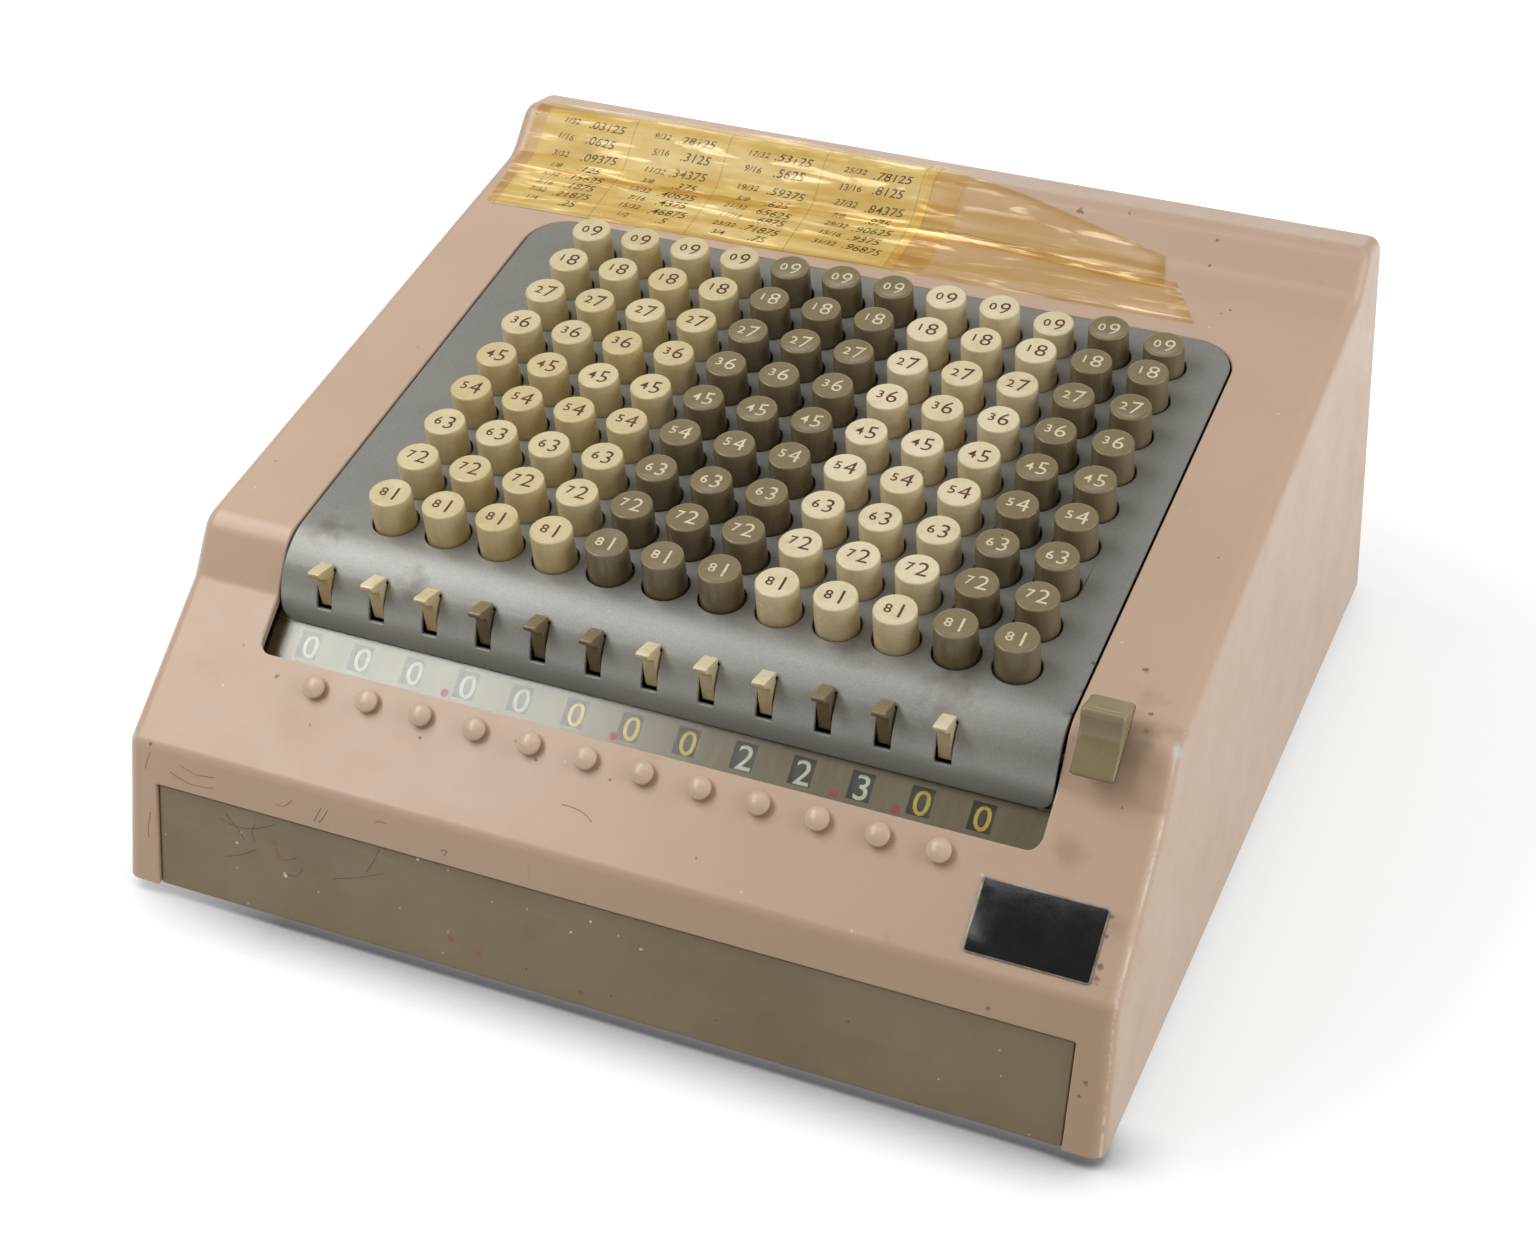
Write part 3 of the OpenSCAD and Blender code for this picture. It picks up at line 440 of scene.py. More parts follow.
def mattePaint(name, colour, patch, roughness, size, metallic=0.0, stretch=(1.0, 1.0, 1.0)):
    # plain painted, moulded or bare metal surface with a blotch of that size and a fine grain
    material, tree, shader, where = newMaterial(name, colour, roughness)
    drawn = addNode(tree, "Mapping", {"Vector": where, "Scale": stretch})
    cloud = addNode(tree, "TexNoise",
                    {"Vector": drawn, "Scale": perMm(size), "Detail": 6.0, "Roughness": 0.65})
    share = addNode(tree, "MapRange", {0: cloud, 1: 0.35, 2: 0.75})
    gloss = addNode(tree, "MapRange", {0: cloud, 1: 0.3, 2: 0.7, 3: roughness - 0.06, 4: roughness + 0.1})
    grain = addNode(tree, "TexNoise", {"Vector": where, "Scale": perMm(1.0), "Detail": 3.0})
    bump = addNode(tree, "Bump", {"Strength": 0.05, "Distance": 0.0003, "Height": grain})
    colour = addNode(tree, "Mix", {0: share, 6: colour, 7: patch}, data_type="RGBA").outputs[2]
    fill(tree, shader, {"Base Color": colour, "Roughness": gloss, "Normal": bump, "Metallic": metallic})
    return material


def clearStrip():
    # acrylic strip, lightly hazed: seen through clearly, with a soft broad gloss on its faces
    material, tree, shader, where = newMaterial("clearAcrylic", "#050505", 0.22)
    haze = addNode(tree, "TexNoise", {"Vector": where, "Scale": perMm(30), "Detail": 5.0})
    blur = addNode(tree, "MapRange", {0: haze, 1: 0.3, 2: 0.8, 3: 0.19, 4: 0.25})
    clear = addNode(tree, "BsdfTransparent", {"Color": "#f4f5f0"})
    both = addNode(tree, "AddShader", {0: clear, 1: shader})
    fill(tree, tree.nodes["Material Output"], {"Surface": both})
    fill(tree, shader, {"IOR": 1.49, "Specular IOR Level": 0.7, "Roughness": blur})
    return material


def oldPaper():
    # writing paper yellowed under tape: brown stains drawn out sideways, ruled columns
    material, tree, shader, where = newMaterial("yellowedPaper", "#dccb98", 0.6)
    drawn = addNode(tree, "Mapping",
                    {"Vector": where, "Rotation": (0.0, 0.0, -0.1), "Scale": (1.0, 3.0, 2.0)})
    stain = addNode(tree, "TexNoise",
                    {"Vector": drawn, "Scale": perMm(22), "Detail": 8.0, "Roughness": 0.68})
    stainShare = addNode(tree, "MapRange", {0: stain, 1: 0.42, 2: 0.72})
    colour = addNode(tree, "Mix", {0: stainShare, 6: "#dccb97", 7: "#cbad6a"},
                     data_type="RGBA").outputs[2]
    spot = addNode(tree, "SeparateXYZ", {0: where})
    # columns are ruled 38 mm apart
    step = addNode(tree, "Math", {0: spot, 1: 0.019}, operation="PINGPONG")
    rule = addNode(tree, "MapRange", {0: step, 1: 0.0001, 2: 0.00035, 3: 0.4, 4: 0.0})
    colour = addNode(tree, "Mix", {0: rule, 6: colour, 7: "#6d5830"}, data_type="RGBA").outputs[2]
    fill(tree, shader, {"Base Color": colour})
    return material


def oldTape():
    # aged cellophane tape: a shiny amber film, deeper at its edges, streaked where it lifts; the pale
    # streaks are also a painted highlight
    material, tree, shader, where = newMaterial("agedTape", "#2e291b", 0.22)
    long = addNode(tree, "Mapping",
                   {"Vector": where, "Rotation": (0.0, 0.0, -0.14), "Scale": (1.0, 10.0, 6.0)})
    streak = addNode(tree, "TexNoise",
                     {"Vector": long, "Scale": perMm(60), "Detail": 2.0, "Roughness": 0.5,
                      "Distortion": 0.5})
    streakShare = addNode(tree, "MapRange", {0: streak, 1: 0.36, 2: 0.66})
    film = addNode(tree, "Mix", {0: streakShare, 6: "#f3e9c8", 7: "#fdfaf0"}, data_type="RGBA").outputs[2]
    patch = addNode(tree, "TexNoise", {"Vector": where, "Scale": perMm(34), "Detail": 5.0})
    patchShare = addNode(tree, "MapRange", {0: patch, 1: 0.45, 2: 0.75, 4: 0.6})
    film = addNode(tree, "Mix", {0: patchShare, 6: film, 7: "#f6eed8"}, data_type="RGBA").outputs[2]
    flat = addNode(tree, "UVMap", uv_map="UVMap").outputs[0]
    axes = addNode(tree, "SeparateXYZ", {0: flat})
    across = addNode(tree, "Math", {0: axes.outputs[1], 1: 0.5}, operation="PINGPONG")
    along = addNode(tree, "Math", {0: axes, 1: 0.5}, operation="PINGPONG")
    border = addNode(tree, "MapRange", {0: across, 1: 0.02, 2: 0.1, 3: 1.0, 4: 0.0})
    ends = addNode(tree, "MapRange", {0: along, 1: 0.004, 2: 0.025, 3: 1.0, 4: 0.0})
    rim = addNode(tree, "Math", {0: border, 1: ends}, operation="MAXIMUM")
    rimShare = addNode(tree, "Math", {0: rim, 1: patch}, operation="MULTIPLY")
    film = addNode(tree, "Mix", {0: rimShare, 6: film, 7: "#e2cf9c"}, data_type="RGBA").outputs[2]
    # pale milky streaks where the film lifts, also a painted highlight in the base colour
    fine = addNode(tree, "TexNoise",
                   {"Vector": long, "Scale": perMm(24), "Detail": 3.0, "Distortion": 0.6})
    liftAndGlint = addNode(tree, "MapRange", {0: fine, 1: 0.55, 2: 0.63})
    milkyAndGlint = addNode(tree, "Math", {0: liftAndGlint, 1: streakShare}, operation="MULTIPLY")
    bump = addNode(tree, "Bump", {"Strength": 0.8, "Distance": 0.0016, "Height": streak})
    seeThrough = addNode(tree, "BsdfTransparent", {"Color": film})
    both = addNode(tree, "AddShader", {0: seeThrough, 1: shader})
    fill(tree, tree.nodes["Material Output"], {"Surface": both})
    colour = addNode(tree, "Mix", {0: milkyAndGlint, 6: "#2e291b", 7: "#b9b3a2"}, data_type="RGBA").outputs[2]
    fill(tree, shader, {"Base Color": colour, "Normal": bump, "Specular IOR Level": 0.14})
    return material


finish = {"casing_enamel": enamel(), "panel_paint": panelPaint(), "plate_hammertone": hammertone(),
          "window_clear": clearStrip(),
          "mask_paint": mattePaint("brushedMask", "#776543", "#66573b", 0.5, 9, 0.0, (3.0, 0.4, 0.4)),
          "bare_steel": mattePaint("plainSheetSteel", "#9b9ea1", "#85888a", 0.42, 40, 0.9),
          "bright_steel": mattePaint("groundSteelBar", "#c4c8cb", "#adb1b4", 0.28, 25, 1.0),
          "motor_paint": mattePaint("darkMotorPaint", "#3c4045", "#32363a", 0.5, 20),
          "foot_rubber": mattePaint("mouldedRubber", "#2b2926", "#383531", 0.75, 12),
          # plastics: fresh, aged, grime colour also used for painted shade, shine, painted flank shade
          "cream_plastic": keyPlastic("creamKeyPlastic", "#e4dabb", "#d1c196", "#a68b54", 0.28, 0.26),
          "brown_plastic": keyPlastic("oliveKeyPlastic", "#8c8063", "#827659", "#584b34", 0.25, 0.45),
          "wheel_black": mattePaint("blackWheel", "#101216", "#181a1f", 0.5, 6),
          "button_plastic": keyPlastic("beigeButtonPlastic", "#d2bca8", "#ccb5a1", "#bfa690", 0.25, 0.0)}
darkInk = inkPaint("darkEngravedInk", "#55291d", "#774a32")
paleInk = inkPaint("paleEngravedInk", "#dcd5ba", "#bdb396")
whiteInk = inkPaint("whiteWheelInk", "#f4f2e8", "#e4e1d5")
greyedInk = inkPaint("greyedWheelInk", "#c2bfb4", "#b0ada2")
yellowInk = inkPaint("yellowWheelInk", "#efc81c", "#d8b01c")
redInk = inkPaint("redPointPaint", "#b3263a", "#98273a")
chartInk = inkPaint("fadedChartInk", "#33291a", "#6d5932", 16, 0.7)
penInks = {"red": inkPaint("redPen", "#a0423f", "#b9877a", 5),
           "blue": inkPaint("bluePen", "#4a4a68", "#8d8078", 5),
           "brown": inkPaint("brownScuff", "#6b4f40", "#9a8070", 5)}
# the clear key's plastic: its third colour is grime and painted shade, its last number the painted flank
# shade
barPlastic = keyPlastic("oliveBarPlastic", "#948868", "#8f8363", "#6a5c40", 0.17, 0.12)
blackPlate = mattePaint("blackEnamelPlate", "#121014", "#1a161a", 0.15, 9)
plateEdge = mattePaint("wornPlateEdge", "#a9a49c", "#5a5048", 0.4, 5, 0.5)
paper = oldPaper()
tape = oldTape()
print("materials ready")

for row in frame["record"]["subparts"]:
    shown = nodes[row["node"]]
    shown.data.materials.clear()
    shown.data.materials.append(finish[row["material_slot"]])

# casing, plate and panel: the solids with broken edges
sheetMetal = {"casing": ("enamelCasing", 0.7, 3), "front_panel": ("frontPanel", 0.6, 2),
              "keyboard_plate": ("keyboardPlate", 0.45, 2)}
buttons = {"count": 12, "pitch": 19.05, "middle": -1.9, "up": 30.8, "hole": 3.2}
ontoApron = apronFrame.inverted()


def atButtonHole(spot):
    # true on the rims of the holes that the buttons hide
    near = ontoApron @ spot / mm
    step = (near.x - buttons["middle"]) / buttons["pitch"] - 0.5
    return math.hypot((step - round(step)) * buttons["pitch"],
                      near.y - buttons["up"]) < buttons["hole"] and near.z > -9


slotOf = {row["node"]: row["material_slot"] for row in frame["record"]["subparts"]}
shell = {}
for node, (name, bevel, steps) in sheetMetal.items():
    shell[node] = mergedCopy(node, name)
    breakEdges(shell[node], bevel, steps, skip=atButtonHole if node == "casing" else None)
    settle(shell[node], "chassis", finish[slotOf[node]], slotOf[node], node)
print("casing, panel and plate done")


def ageOf(obj, tone, low, high):
    # two point attributes that the plastic reads: how yellow the piece is, and how high a point stands
    heights = [min(1, max(0, (v.co.z - low) / (high - low))) for v in obj.data.vertices]
    for name, values in (("keyTone", [tone] * len(heights)), ("keyHeight", heights)):
        obj.data.attributes.new(name, "FLOAT", "POINT").data.foreach_set("value", values)


# keys: one dished and one flat, copied over the board
keys = {"columns": 12, "rows": 9, "pitch": 19.05, "rowPitch": 18.7, "middle": 4.0, "topRadius": 6.8,
        "footRadius": 7.0, "height": 12.0, "skirt": 3.6, "dish": 0.7, "rim": 0.65, "sides": 40,
        "brown": (5, 6, 7, 11, 12), "pale": (8, 9, 10), "sunk": {(10, 9): 2.5, (12, 9): 2.5}}


def keyPlace(column, row):
    x = keys["middle"] + (column - (keys["columns"] + 1) / 2) * keys["pitch"]
    return boardFrame @ place(x, (row - 1) * keys["rowPitch"], -keys["sunk"].get((column, row), 0))


def buildKey(dished):
    deselectAll()
    tall = keys["height"] + keys["skirt"]
    bpy.ops.mesh.primitive_cylinder_add(vertices=keys["sides"], radius=keys["footRadius"] * mm,
                                        depth=tall * mm,
                                        location=(0, 0, (keys["height"] - tall / 2) * mm))
    key = bpy.context.object
    bpy.ops.object.transform_apply(location=True, rotation=True, scale=True)
    top = lambda face: face.normal.z > 0.99 and face.center.z > 0.9 * keys["height"] * mm
    editSelected(key, "FACE", top)
    draw = keys["topRadius"] / keys["footRadius"]
    bpy.ops.transform.resize(value=(draw, draw, 1), center_override=(0, 0, keys["height"] * mm))
    bpy.ops.mesh.bevel(offset=keys["rim"] * mm, segments=3, affect="EDGES")
    editSelected(key, "FACE", top)
    bpy.ops.mesh.inset(thickness=0.25 * mm)
    if dished:
        reach = keys["topRadius"] - keys["rim"] - 0.25
        depth = 0.0
        for share in (0.8, 0.6, 0.4, 0.2):
            bpy.ops.mesh.inset(thickness=0.2 * reach * mm)
            step = -keys["dish"] * (1 - share ** 2) - depth
            bpy.ops.transform.translate(value=(0, 0, step * mm))
            depth += step
    bpy.ops.mesh.poke()
    bpy.ops.object.mode_set(mode="OBJECT")
    smoothBy(key, 40)
    return key


keyShapes = {"dished": buildKey(True), "flat": buildKey(False)}
for row in range(1, keys["rows"] + 1):
    sets = {"cream": [], "brown": []}
    for column in range(1, keys["columns"] + 1):
        copy = newObject("key", keyShapes["dished" if row % 2 else "flat"].data.copy())
        ageOf(copy, 0.4 * random.random() + (0.0 if column in keys["pale"] else 0.6), 0,
              keys["height"] * mm)
        copy.data.transform(keyPlace(column, row))
        sets["brown" if column in keys["brown"] else "cream"].append(copy)
    for shade, parts in sets.items():
        piece = joinAll(f"{shade}Keys{row}", parts)
        settle(piece, f"key_row_{row}", finish[shade + "_plastic"], shade + "_plastic", f"key_row_{row}")
print("keys done")

# engraved figures: the small one is the complement, the large one is the key's own digit
figures = {"large": 8.6, "small": 5.2, "largeAt": (1.8, 0.2), "smallAt": (-2.35, 0.3),
           "thin": {"large": -0.002, "small": 0.010}, "lift": 0.03}


def buildFigure(text, size, thin, wide=1.0, slant=0.0):
    # a figure made mesh, centred on the origin
    deselectAll()
    bpy.ops.object.text_add(location=(0, 0, 0))
    figure = bpy.context.object
    figure.data.body = text
    figure.data.size = size * mm
    figure.data.offset = thin * size * mm
    figure.data.shear = slant
    figure.data.resolution_u = 3
    bpy.ops.object.convert(target="MESH")
    xs = [v.co.x for v in figure.data.vertices]
    ys = [v.co.y for v in figure.data.vertices]
    centre = Matrix.Translation((-(min(xs) + max(xs)) / 2, -(min(ys) + max(ys)) / 2, 0))
    figure.data.transform(Matrix.Diagonal((wide, 1, 1, 1)) @ centre)
    return figure


def layOn(flat, target, lift, cuts=1):
    # cuts the long faces and drops the figure or sheet straight down on the target
    editSelected(flat, "FACE", lambda face: True)
    bpy.ops.mesh.subdivide(number_cuts=cuts)
    bpy.ops.object.mode_set(mode="OBJECT")
    applyModifier(flat, "SHRINKWRAP", target=target, wrap_method="PROJECT", wrap_mode="ABOVE_SURFACE",
                  use_project_z=True, use_negative_direction=True, use_positive_direction=False,
                  offset=lift * mm)


def keyFigure(digit, kind, shape):
    figure = buildFigure(str(digit), figures[kind], figures["thin"][kind])
    figure.data.transform(place(*figures[kind + "At"], keys["height"] + 3))
    layOn(figure, keyShapes[shape], figures["lift"])
    return figure


for row in range(1, keys["rows"] + 1):
    shape = "dished" if row % 2 else "flat"
    pair = [keyFigure(row, "large", shape), keyFigure(9 - row, "small", shape)]
    sets = {"dark": [], "pale": []}
    for column in range(1, keys["columns"] + 1):
        for figure in pair:
            copy = newObject("figure", figure.data.copy())
            copy.data.transform(keyPlace(column, row))
            sets["pale" if column in keys["brown"] else "dark"].append(copy)
    for shade, parts in sets.items():
        piece = joinAll(f"{shade}Figures{row}", parts)
        settle(piece, f"key_row_{row}", darkInk if shade == "dark" else paleInk,
               "brown_plastic" if shade == "dark" else "cream_plastic")
    for figure in pair:
        bpy.data.objects.remove(figure)
for shape in keyShapes.values():
    bpy.data.objects.remove(shape)
print("key figures done")

# levers, clear key and point buttons; the beak of a lever is drawn out and hollowed below
levers = {"brown": (4, 5, 6, 10, 11), "pitch": 19.05, "beak": (0, -1.5, -0.3),
          "throat": (-114.62, 100.02), "hollow": (0, -0.13, 2.4), "beakFrom": (-115.2, 104), "near": 0.4,
          "round": 1.3}
beakY, beakZ = levers["beakFrom"]
leverShape = mergedCopy("lever_1", "leverShape")
editSelected(leverShape, "VERT", lambda v: v.co.y < beakY * mm and v.co.z > beakZ * mm)
bpy.ops.transform.translate(value=Vector(levers["beak"]) * mm)
editSelected(leverShape, "VERT",
             lambda v: (v.co.yz / mm - Vector(levers["throat"])).length < levers["near"])
bpy.ops.transform.translate(value=Vector(levers["hollow"]) * mm)
bpy.ops.mesh.select_mode(type="EDGE")
bpy.ops.mesh.bevel(offset=levers["round"] * mm, segments=4, affect="EDGES")
bpy.ops.object.mode_set(mode="OBJECT")
breakEdges(leverShape, 0.45, 3, 62, 40)
buttonShape = mergedCopy("point_button_1", "buttonShape")
breakEdges(buttonShape, 0.35, 3, 30, 40)
for i in range(1, buttons["count"] + 1):
    shade = "brown_plastic" if i in levers["brown"] else "cream_plastic"
    piece = newObject(f"leverTab{i}", leverShape.data.copy())
    piece.data.transform(place((i - 1) * levers["pitch"], 0, 0))
    ageOf(piece, random.random(), 0.084, 0.104)
    settle(piece, f"lever_{i}", finish[shade], shade, f"lever_{i}")
    piece = newObject(f"pointButton{i}", buttonShape.data.copy())
    piece.data.transform(place((i - 1) * buttons["pitch"], 0, 0))
    ageOf(piece, random.random(), 0.05, 0.075)
    settle(piece, f"point_button_{i}", finish["button_plastic"], "button_plastic", f"point_button_{i}")
for shape in (leverShape, buttonShape):
    bpy.data.objects.remove(shape)
piece = mergedCopy("clear_key", "clearBar")
breakEdges(piece, 1.2, 4, 50, 50)
ageOf(piece, 0.2, 0.090, 0.112)
settle(piece, "clear_key", barPlastic, "brown_plastic", "clear_key")
print("levers, clear key and buttons done")

# register: ten figures round each wheel, and red points on the mask
register = {"wheels": 13, "pitch": 19.05, "middle": -4.6, "centre": (-107.96, 65.307), "radius": 15.0,
            "figure": 11.2, "wide": 1.04, "thick": 0.004,
            "shown": (0, 0, 0, 0, 0, 0, 0, 0, 2, 2, 3, 0, 0), "yellow": (6, 7, 8, 12, 13),
            "greyed": (1, 2, 3, 4, 5), "points": (-68.0, -9.0, 64.0, 84.0), "pointUp": 41.2,
            "pointRadius": 1.35, "maskDepth": 8.65, "pointThick": 0.1, "pointRound": 0.04, "drum": 20,
            "lift": 0.04, "step": 36}
wheelFrame = place(0, *register["centre"]) @ Matrix.Rotation(math.radians(slopes["apron"][2]), 4, "X")
deselectAll()
bpy.ops.mesh.primitive_cylinder_add(vertices=120, radius=register["radius"] * mm,
                                    depth=register["drum"] * mm, location=(0, 0, 0),
                                    rotation=(0, math.pi / 2, 0))
drum = bpy.context.object
bpy.ops.object.transform_apply(location=True, rotation=True, scale=True)
wheelFigures = []
for d in range(10):
    figure = buildFigure(str(d), register["figure"], register["thick"], register["wide"])
    figure.data.transform(place(0, 0, register["radius"] + 5))
    layOn(figure, drum, register["lift"])
    wheelFigures.append(figure)
for k in range(1, register["wheels"] + 1):
    parts = []
    across = place(register["middle"] + (k - (register["wheels"] + 1) / 2) * register["pitch"], 0, 0)
    for d in range(10):
        figure = newObject("figure", wheelFigures[d].data.copy())
        turn = Matrix.Rotation(math.radians(register["step"]) * (d - register["shown"][k - 1]), 4, "X")
        figure.data.transform(across @ wheelFrame @ turn)
        parts.append(figure)
    piece = joinAll(f"wheelFigures{k}", parts)
    ink = yellowInk if k in register["yellow"] else greyedInk if k in register["greyed"] else whiteInk
    settle(piece, f"number_wheel_{k}", ink, "wheel_black")
for helper in wheelFigures + [drum]:
    bpy.data.objects.remove(helper)
parts = []
for x in register["points"]:
    deselectAll()
    bpy.ops.mesh.primitive_cylinder_add(vertices=24, radius=register["pointRadius"] * mm,
                                        depth=register["pointThick"] * mm, location=(0, 0, 0))
    point = bpy.context.object
    editSelected(point, "FACE", lambda face: face.normal.z > 0.9)
    bpy.ops.mesh.bevel(offset=register["pointRound"] * mm, segments=2, affect="EDGES")
    bpy.ops.object.mode_set(mode="OBJECT")
    point.data.transform(apronFrame @ place(x, register["pointUp"],
                                            register["pointThick"] / 2 - register["maskDepth"]))
    parts.append(point)
settle(joinAll("redPoints", parts), "chassis", redInk, "mask_paint")
print("register done")

# blank plate on the apron: black enamel inside a worn metal edge
smallPlate = {"middle": (136.4, 15.9), "size": (38.3, 22.6), "thick": 0.5, "corner": 1.2, "border": 0.45,
              "field": 0.2, "sunk": 0.12}


def buildPlate(name, size, thick, corner, lift):
    deselectAll()
    bpy.ops.mesh.primitive_cube_add(size=1, location=(0, 0, 0),
                                    scale=(size[0] * mm, size[1] * mm, thick * mm))
    plate = bpy.context.object
    plate.name = name
    bpy.ops.object.transform_apply(location=True, rotation=True, scale=True)
    ends = plate.data.vertices
    editSelected(plate, "EDGE",
                 lambda edge: abs(ends[edge.vertices[0]].co.z - ends[edge.vertices[1]].co.z) > 1e-6)
    bpy.ops.mesh.bevel(offset=corner * mm, segments=5, affect="EDGES")
    bpy.ops.object.mode_set(mode="OBJECT")
    applyModifier(plate, "BEVEL", width=0.1 * mm, segments=2, limit_method="ANGLE",
                  angle_limit=math.radians(50))
    plate.data.transform(apronFrame @ place(smallPlate["middle"][0], smallPlate["middle"][1],
                                            thick / 2 + lift))
    smoothBy(plate, 35)
    return plate


settle(buildPlate("blankPlate", smallPlate["size"], smallPlate["thick"], smallPlate["corner"], 0.0),
       "chassis", plateEdge, "bare_steel")
inner = [side - 2 * smallPlate["border"] for side in smallPlate["size"]]
settle(buildPlate("blankPlateField", inner, smallPlate["field"],
                  smallPlate["corner"] - smallPlate["border"], smallPlate["thick"] - smallPlate["sunk"]),
       "chassis", blackPlate, "wheel_black")
print("blank plate done")

# chart under tape on the rear hump: near and far edge of each sheet as (x, y), from left to right
sheets = {"paper": (((-153, 77.9), (-150, 124.0)), ((-100, 79.4), (-98, 126.8)),
                    ((-48, 80.8), (-48, 129.8)), ((3.5, 82.8), (4.5, 131.8))),
          "lowTape": (((-155, 78.4), (-156, 102.5)), ((-60, 80.3), (-60, 106.4)),
                      ((20, 81.8), (22, 109.2)), ((112, 83.3), (100, 103.5))),
          "highTape": (((-157, 100.5), (-155, 127.9)), ((-60, 102.5), (-60, 132.8)),
                       ((8, 105.4), (9, 126.8)), ((97, 98.5), (93, 113.3))),
          "endTape": (((0.5, 83.2), (1.5, 131.4)), ((7.5, 83.6), (9.0, 130.6)),
                      ((14.0, 84.4), (16.0, 127.6)))}
dropFrom = 0.3


def buildSheet(name, stations, cuts, lift, ripple):
    # a sheet cut to its outline over the machine, dropped on the casing and wrinkled a little
    deselectAll()
    count = len(stations)
    bpy.ops.mesh.primitive_grid_add(x_subdivisions=count - 1, y_subdivisions=1, size=2,
                                    location=(0, 0, dropFrom))
    sheet = bpy.context.object
    sheet.name = name
    bpy.ops.object.transform_apply(location=True, rotation=True, scale=True)
    for i, ends in enumerate(stations):
        for j, (x, y) in enumerate(ends):
            at = Vector((-1 + 2 * i / (count - 1), -1 + 2 * j, dropFrom))
            editSelected(sheet, "VERT", lambda v: (v.co - at).length < 1e-4)
            bpy.ops.transform.translate(value=Vector((x * mm, y * mm, dropFrom)) - at)
    bpy.ops.object.mode_set(mode="OBJECT")
    layOn(sheet, shell["casing"], lift, cuts)
    creases = bpy.data.textures.new(name + "Creases", "CLOUDS")
    creases.noise_scale = 0.014
    applyModifier(sheet, "DISPLACE", texture=creases, texture_coords="LOCAL", strength=ripple * mm,
                  mid_level=0.25)
    smoothBy(sheet, 60)
    return sheet


chart = buildSheet("pencilChart", sheets["paper"], 22, 0.12, 0.15)
# decimal equivalents of the thirty-seconds, in four columns of eight
table = {"left": -140.0, "pitch": 38.0, "gap": 14.5, "size": 5.0, "slant": 0.25, "wide": 1.08,
         "thick": 0.002, "tilt": 0.06, "stray": (0.8, 0.3),
         "rows": ((120.6, 0.64), (116.4, 0.64), (111.8, 0.72), (106.6, 0.95), (101.2, 1.0), (95.8, 1.0),
                  (90.4, 1.0), (85.2, 1.0))}
entries = []
for k in range(1, 32):
    shared = math.gcd(k, 32)
    y, squash = table["rows"][(k - 1) % 8]
    x = table["left"] + table["pitch"] * ((k - 1) // 8)
    for text, size, shift in ((f"{k // shared}/{32 // shared}", 0.72, 0.0),
                              (f".{k * 3125:05d}".rstrip("0"), 1.0, table["gap"])):
        entry = buildFigure(text, table["size"] * size, table["thick"], table["wide"], table["slant"])
        tilt = Matrix.Rotation(random.uniform(-table["tilt"], table["tilt"]), 4, "Z")
        strayX, strayY = (random.uniform(-reach, reach) for reach in table["stray"])
        where = place(x + shift + strayX, y + strayY, dropFrom / mm)
        entry.data.transform(where @ Matrix.Diagonal((1, squash, 1, 1)) @ tilt)
        entries.append(entry)
entries = joinAll("chartFigures", entries)
layOn(entries, chart, 0.05)
settle(entries, "chassis", chartInk, "brown_plastic")
settle(chart, "chassis", paper, "cream_plastic")
settle(buildSheet("lowTape", sheets["lowTape"], 26, 0.42, 0.3), "chassis", tape, "window_clear")
settle(buildSheet("highTape", sheets["highTape"], 26, 0.6, 0.35), "chassis", tape, "window_clear")
settle(buildSheet("endTape", sheets["endTape"], 20, 0.8, 0.35), "chassis", tape, "window_clear")
print("chart and tape done")

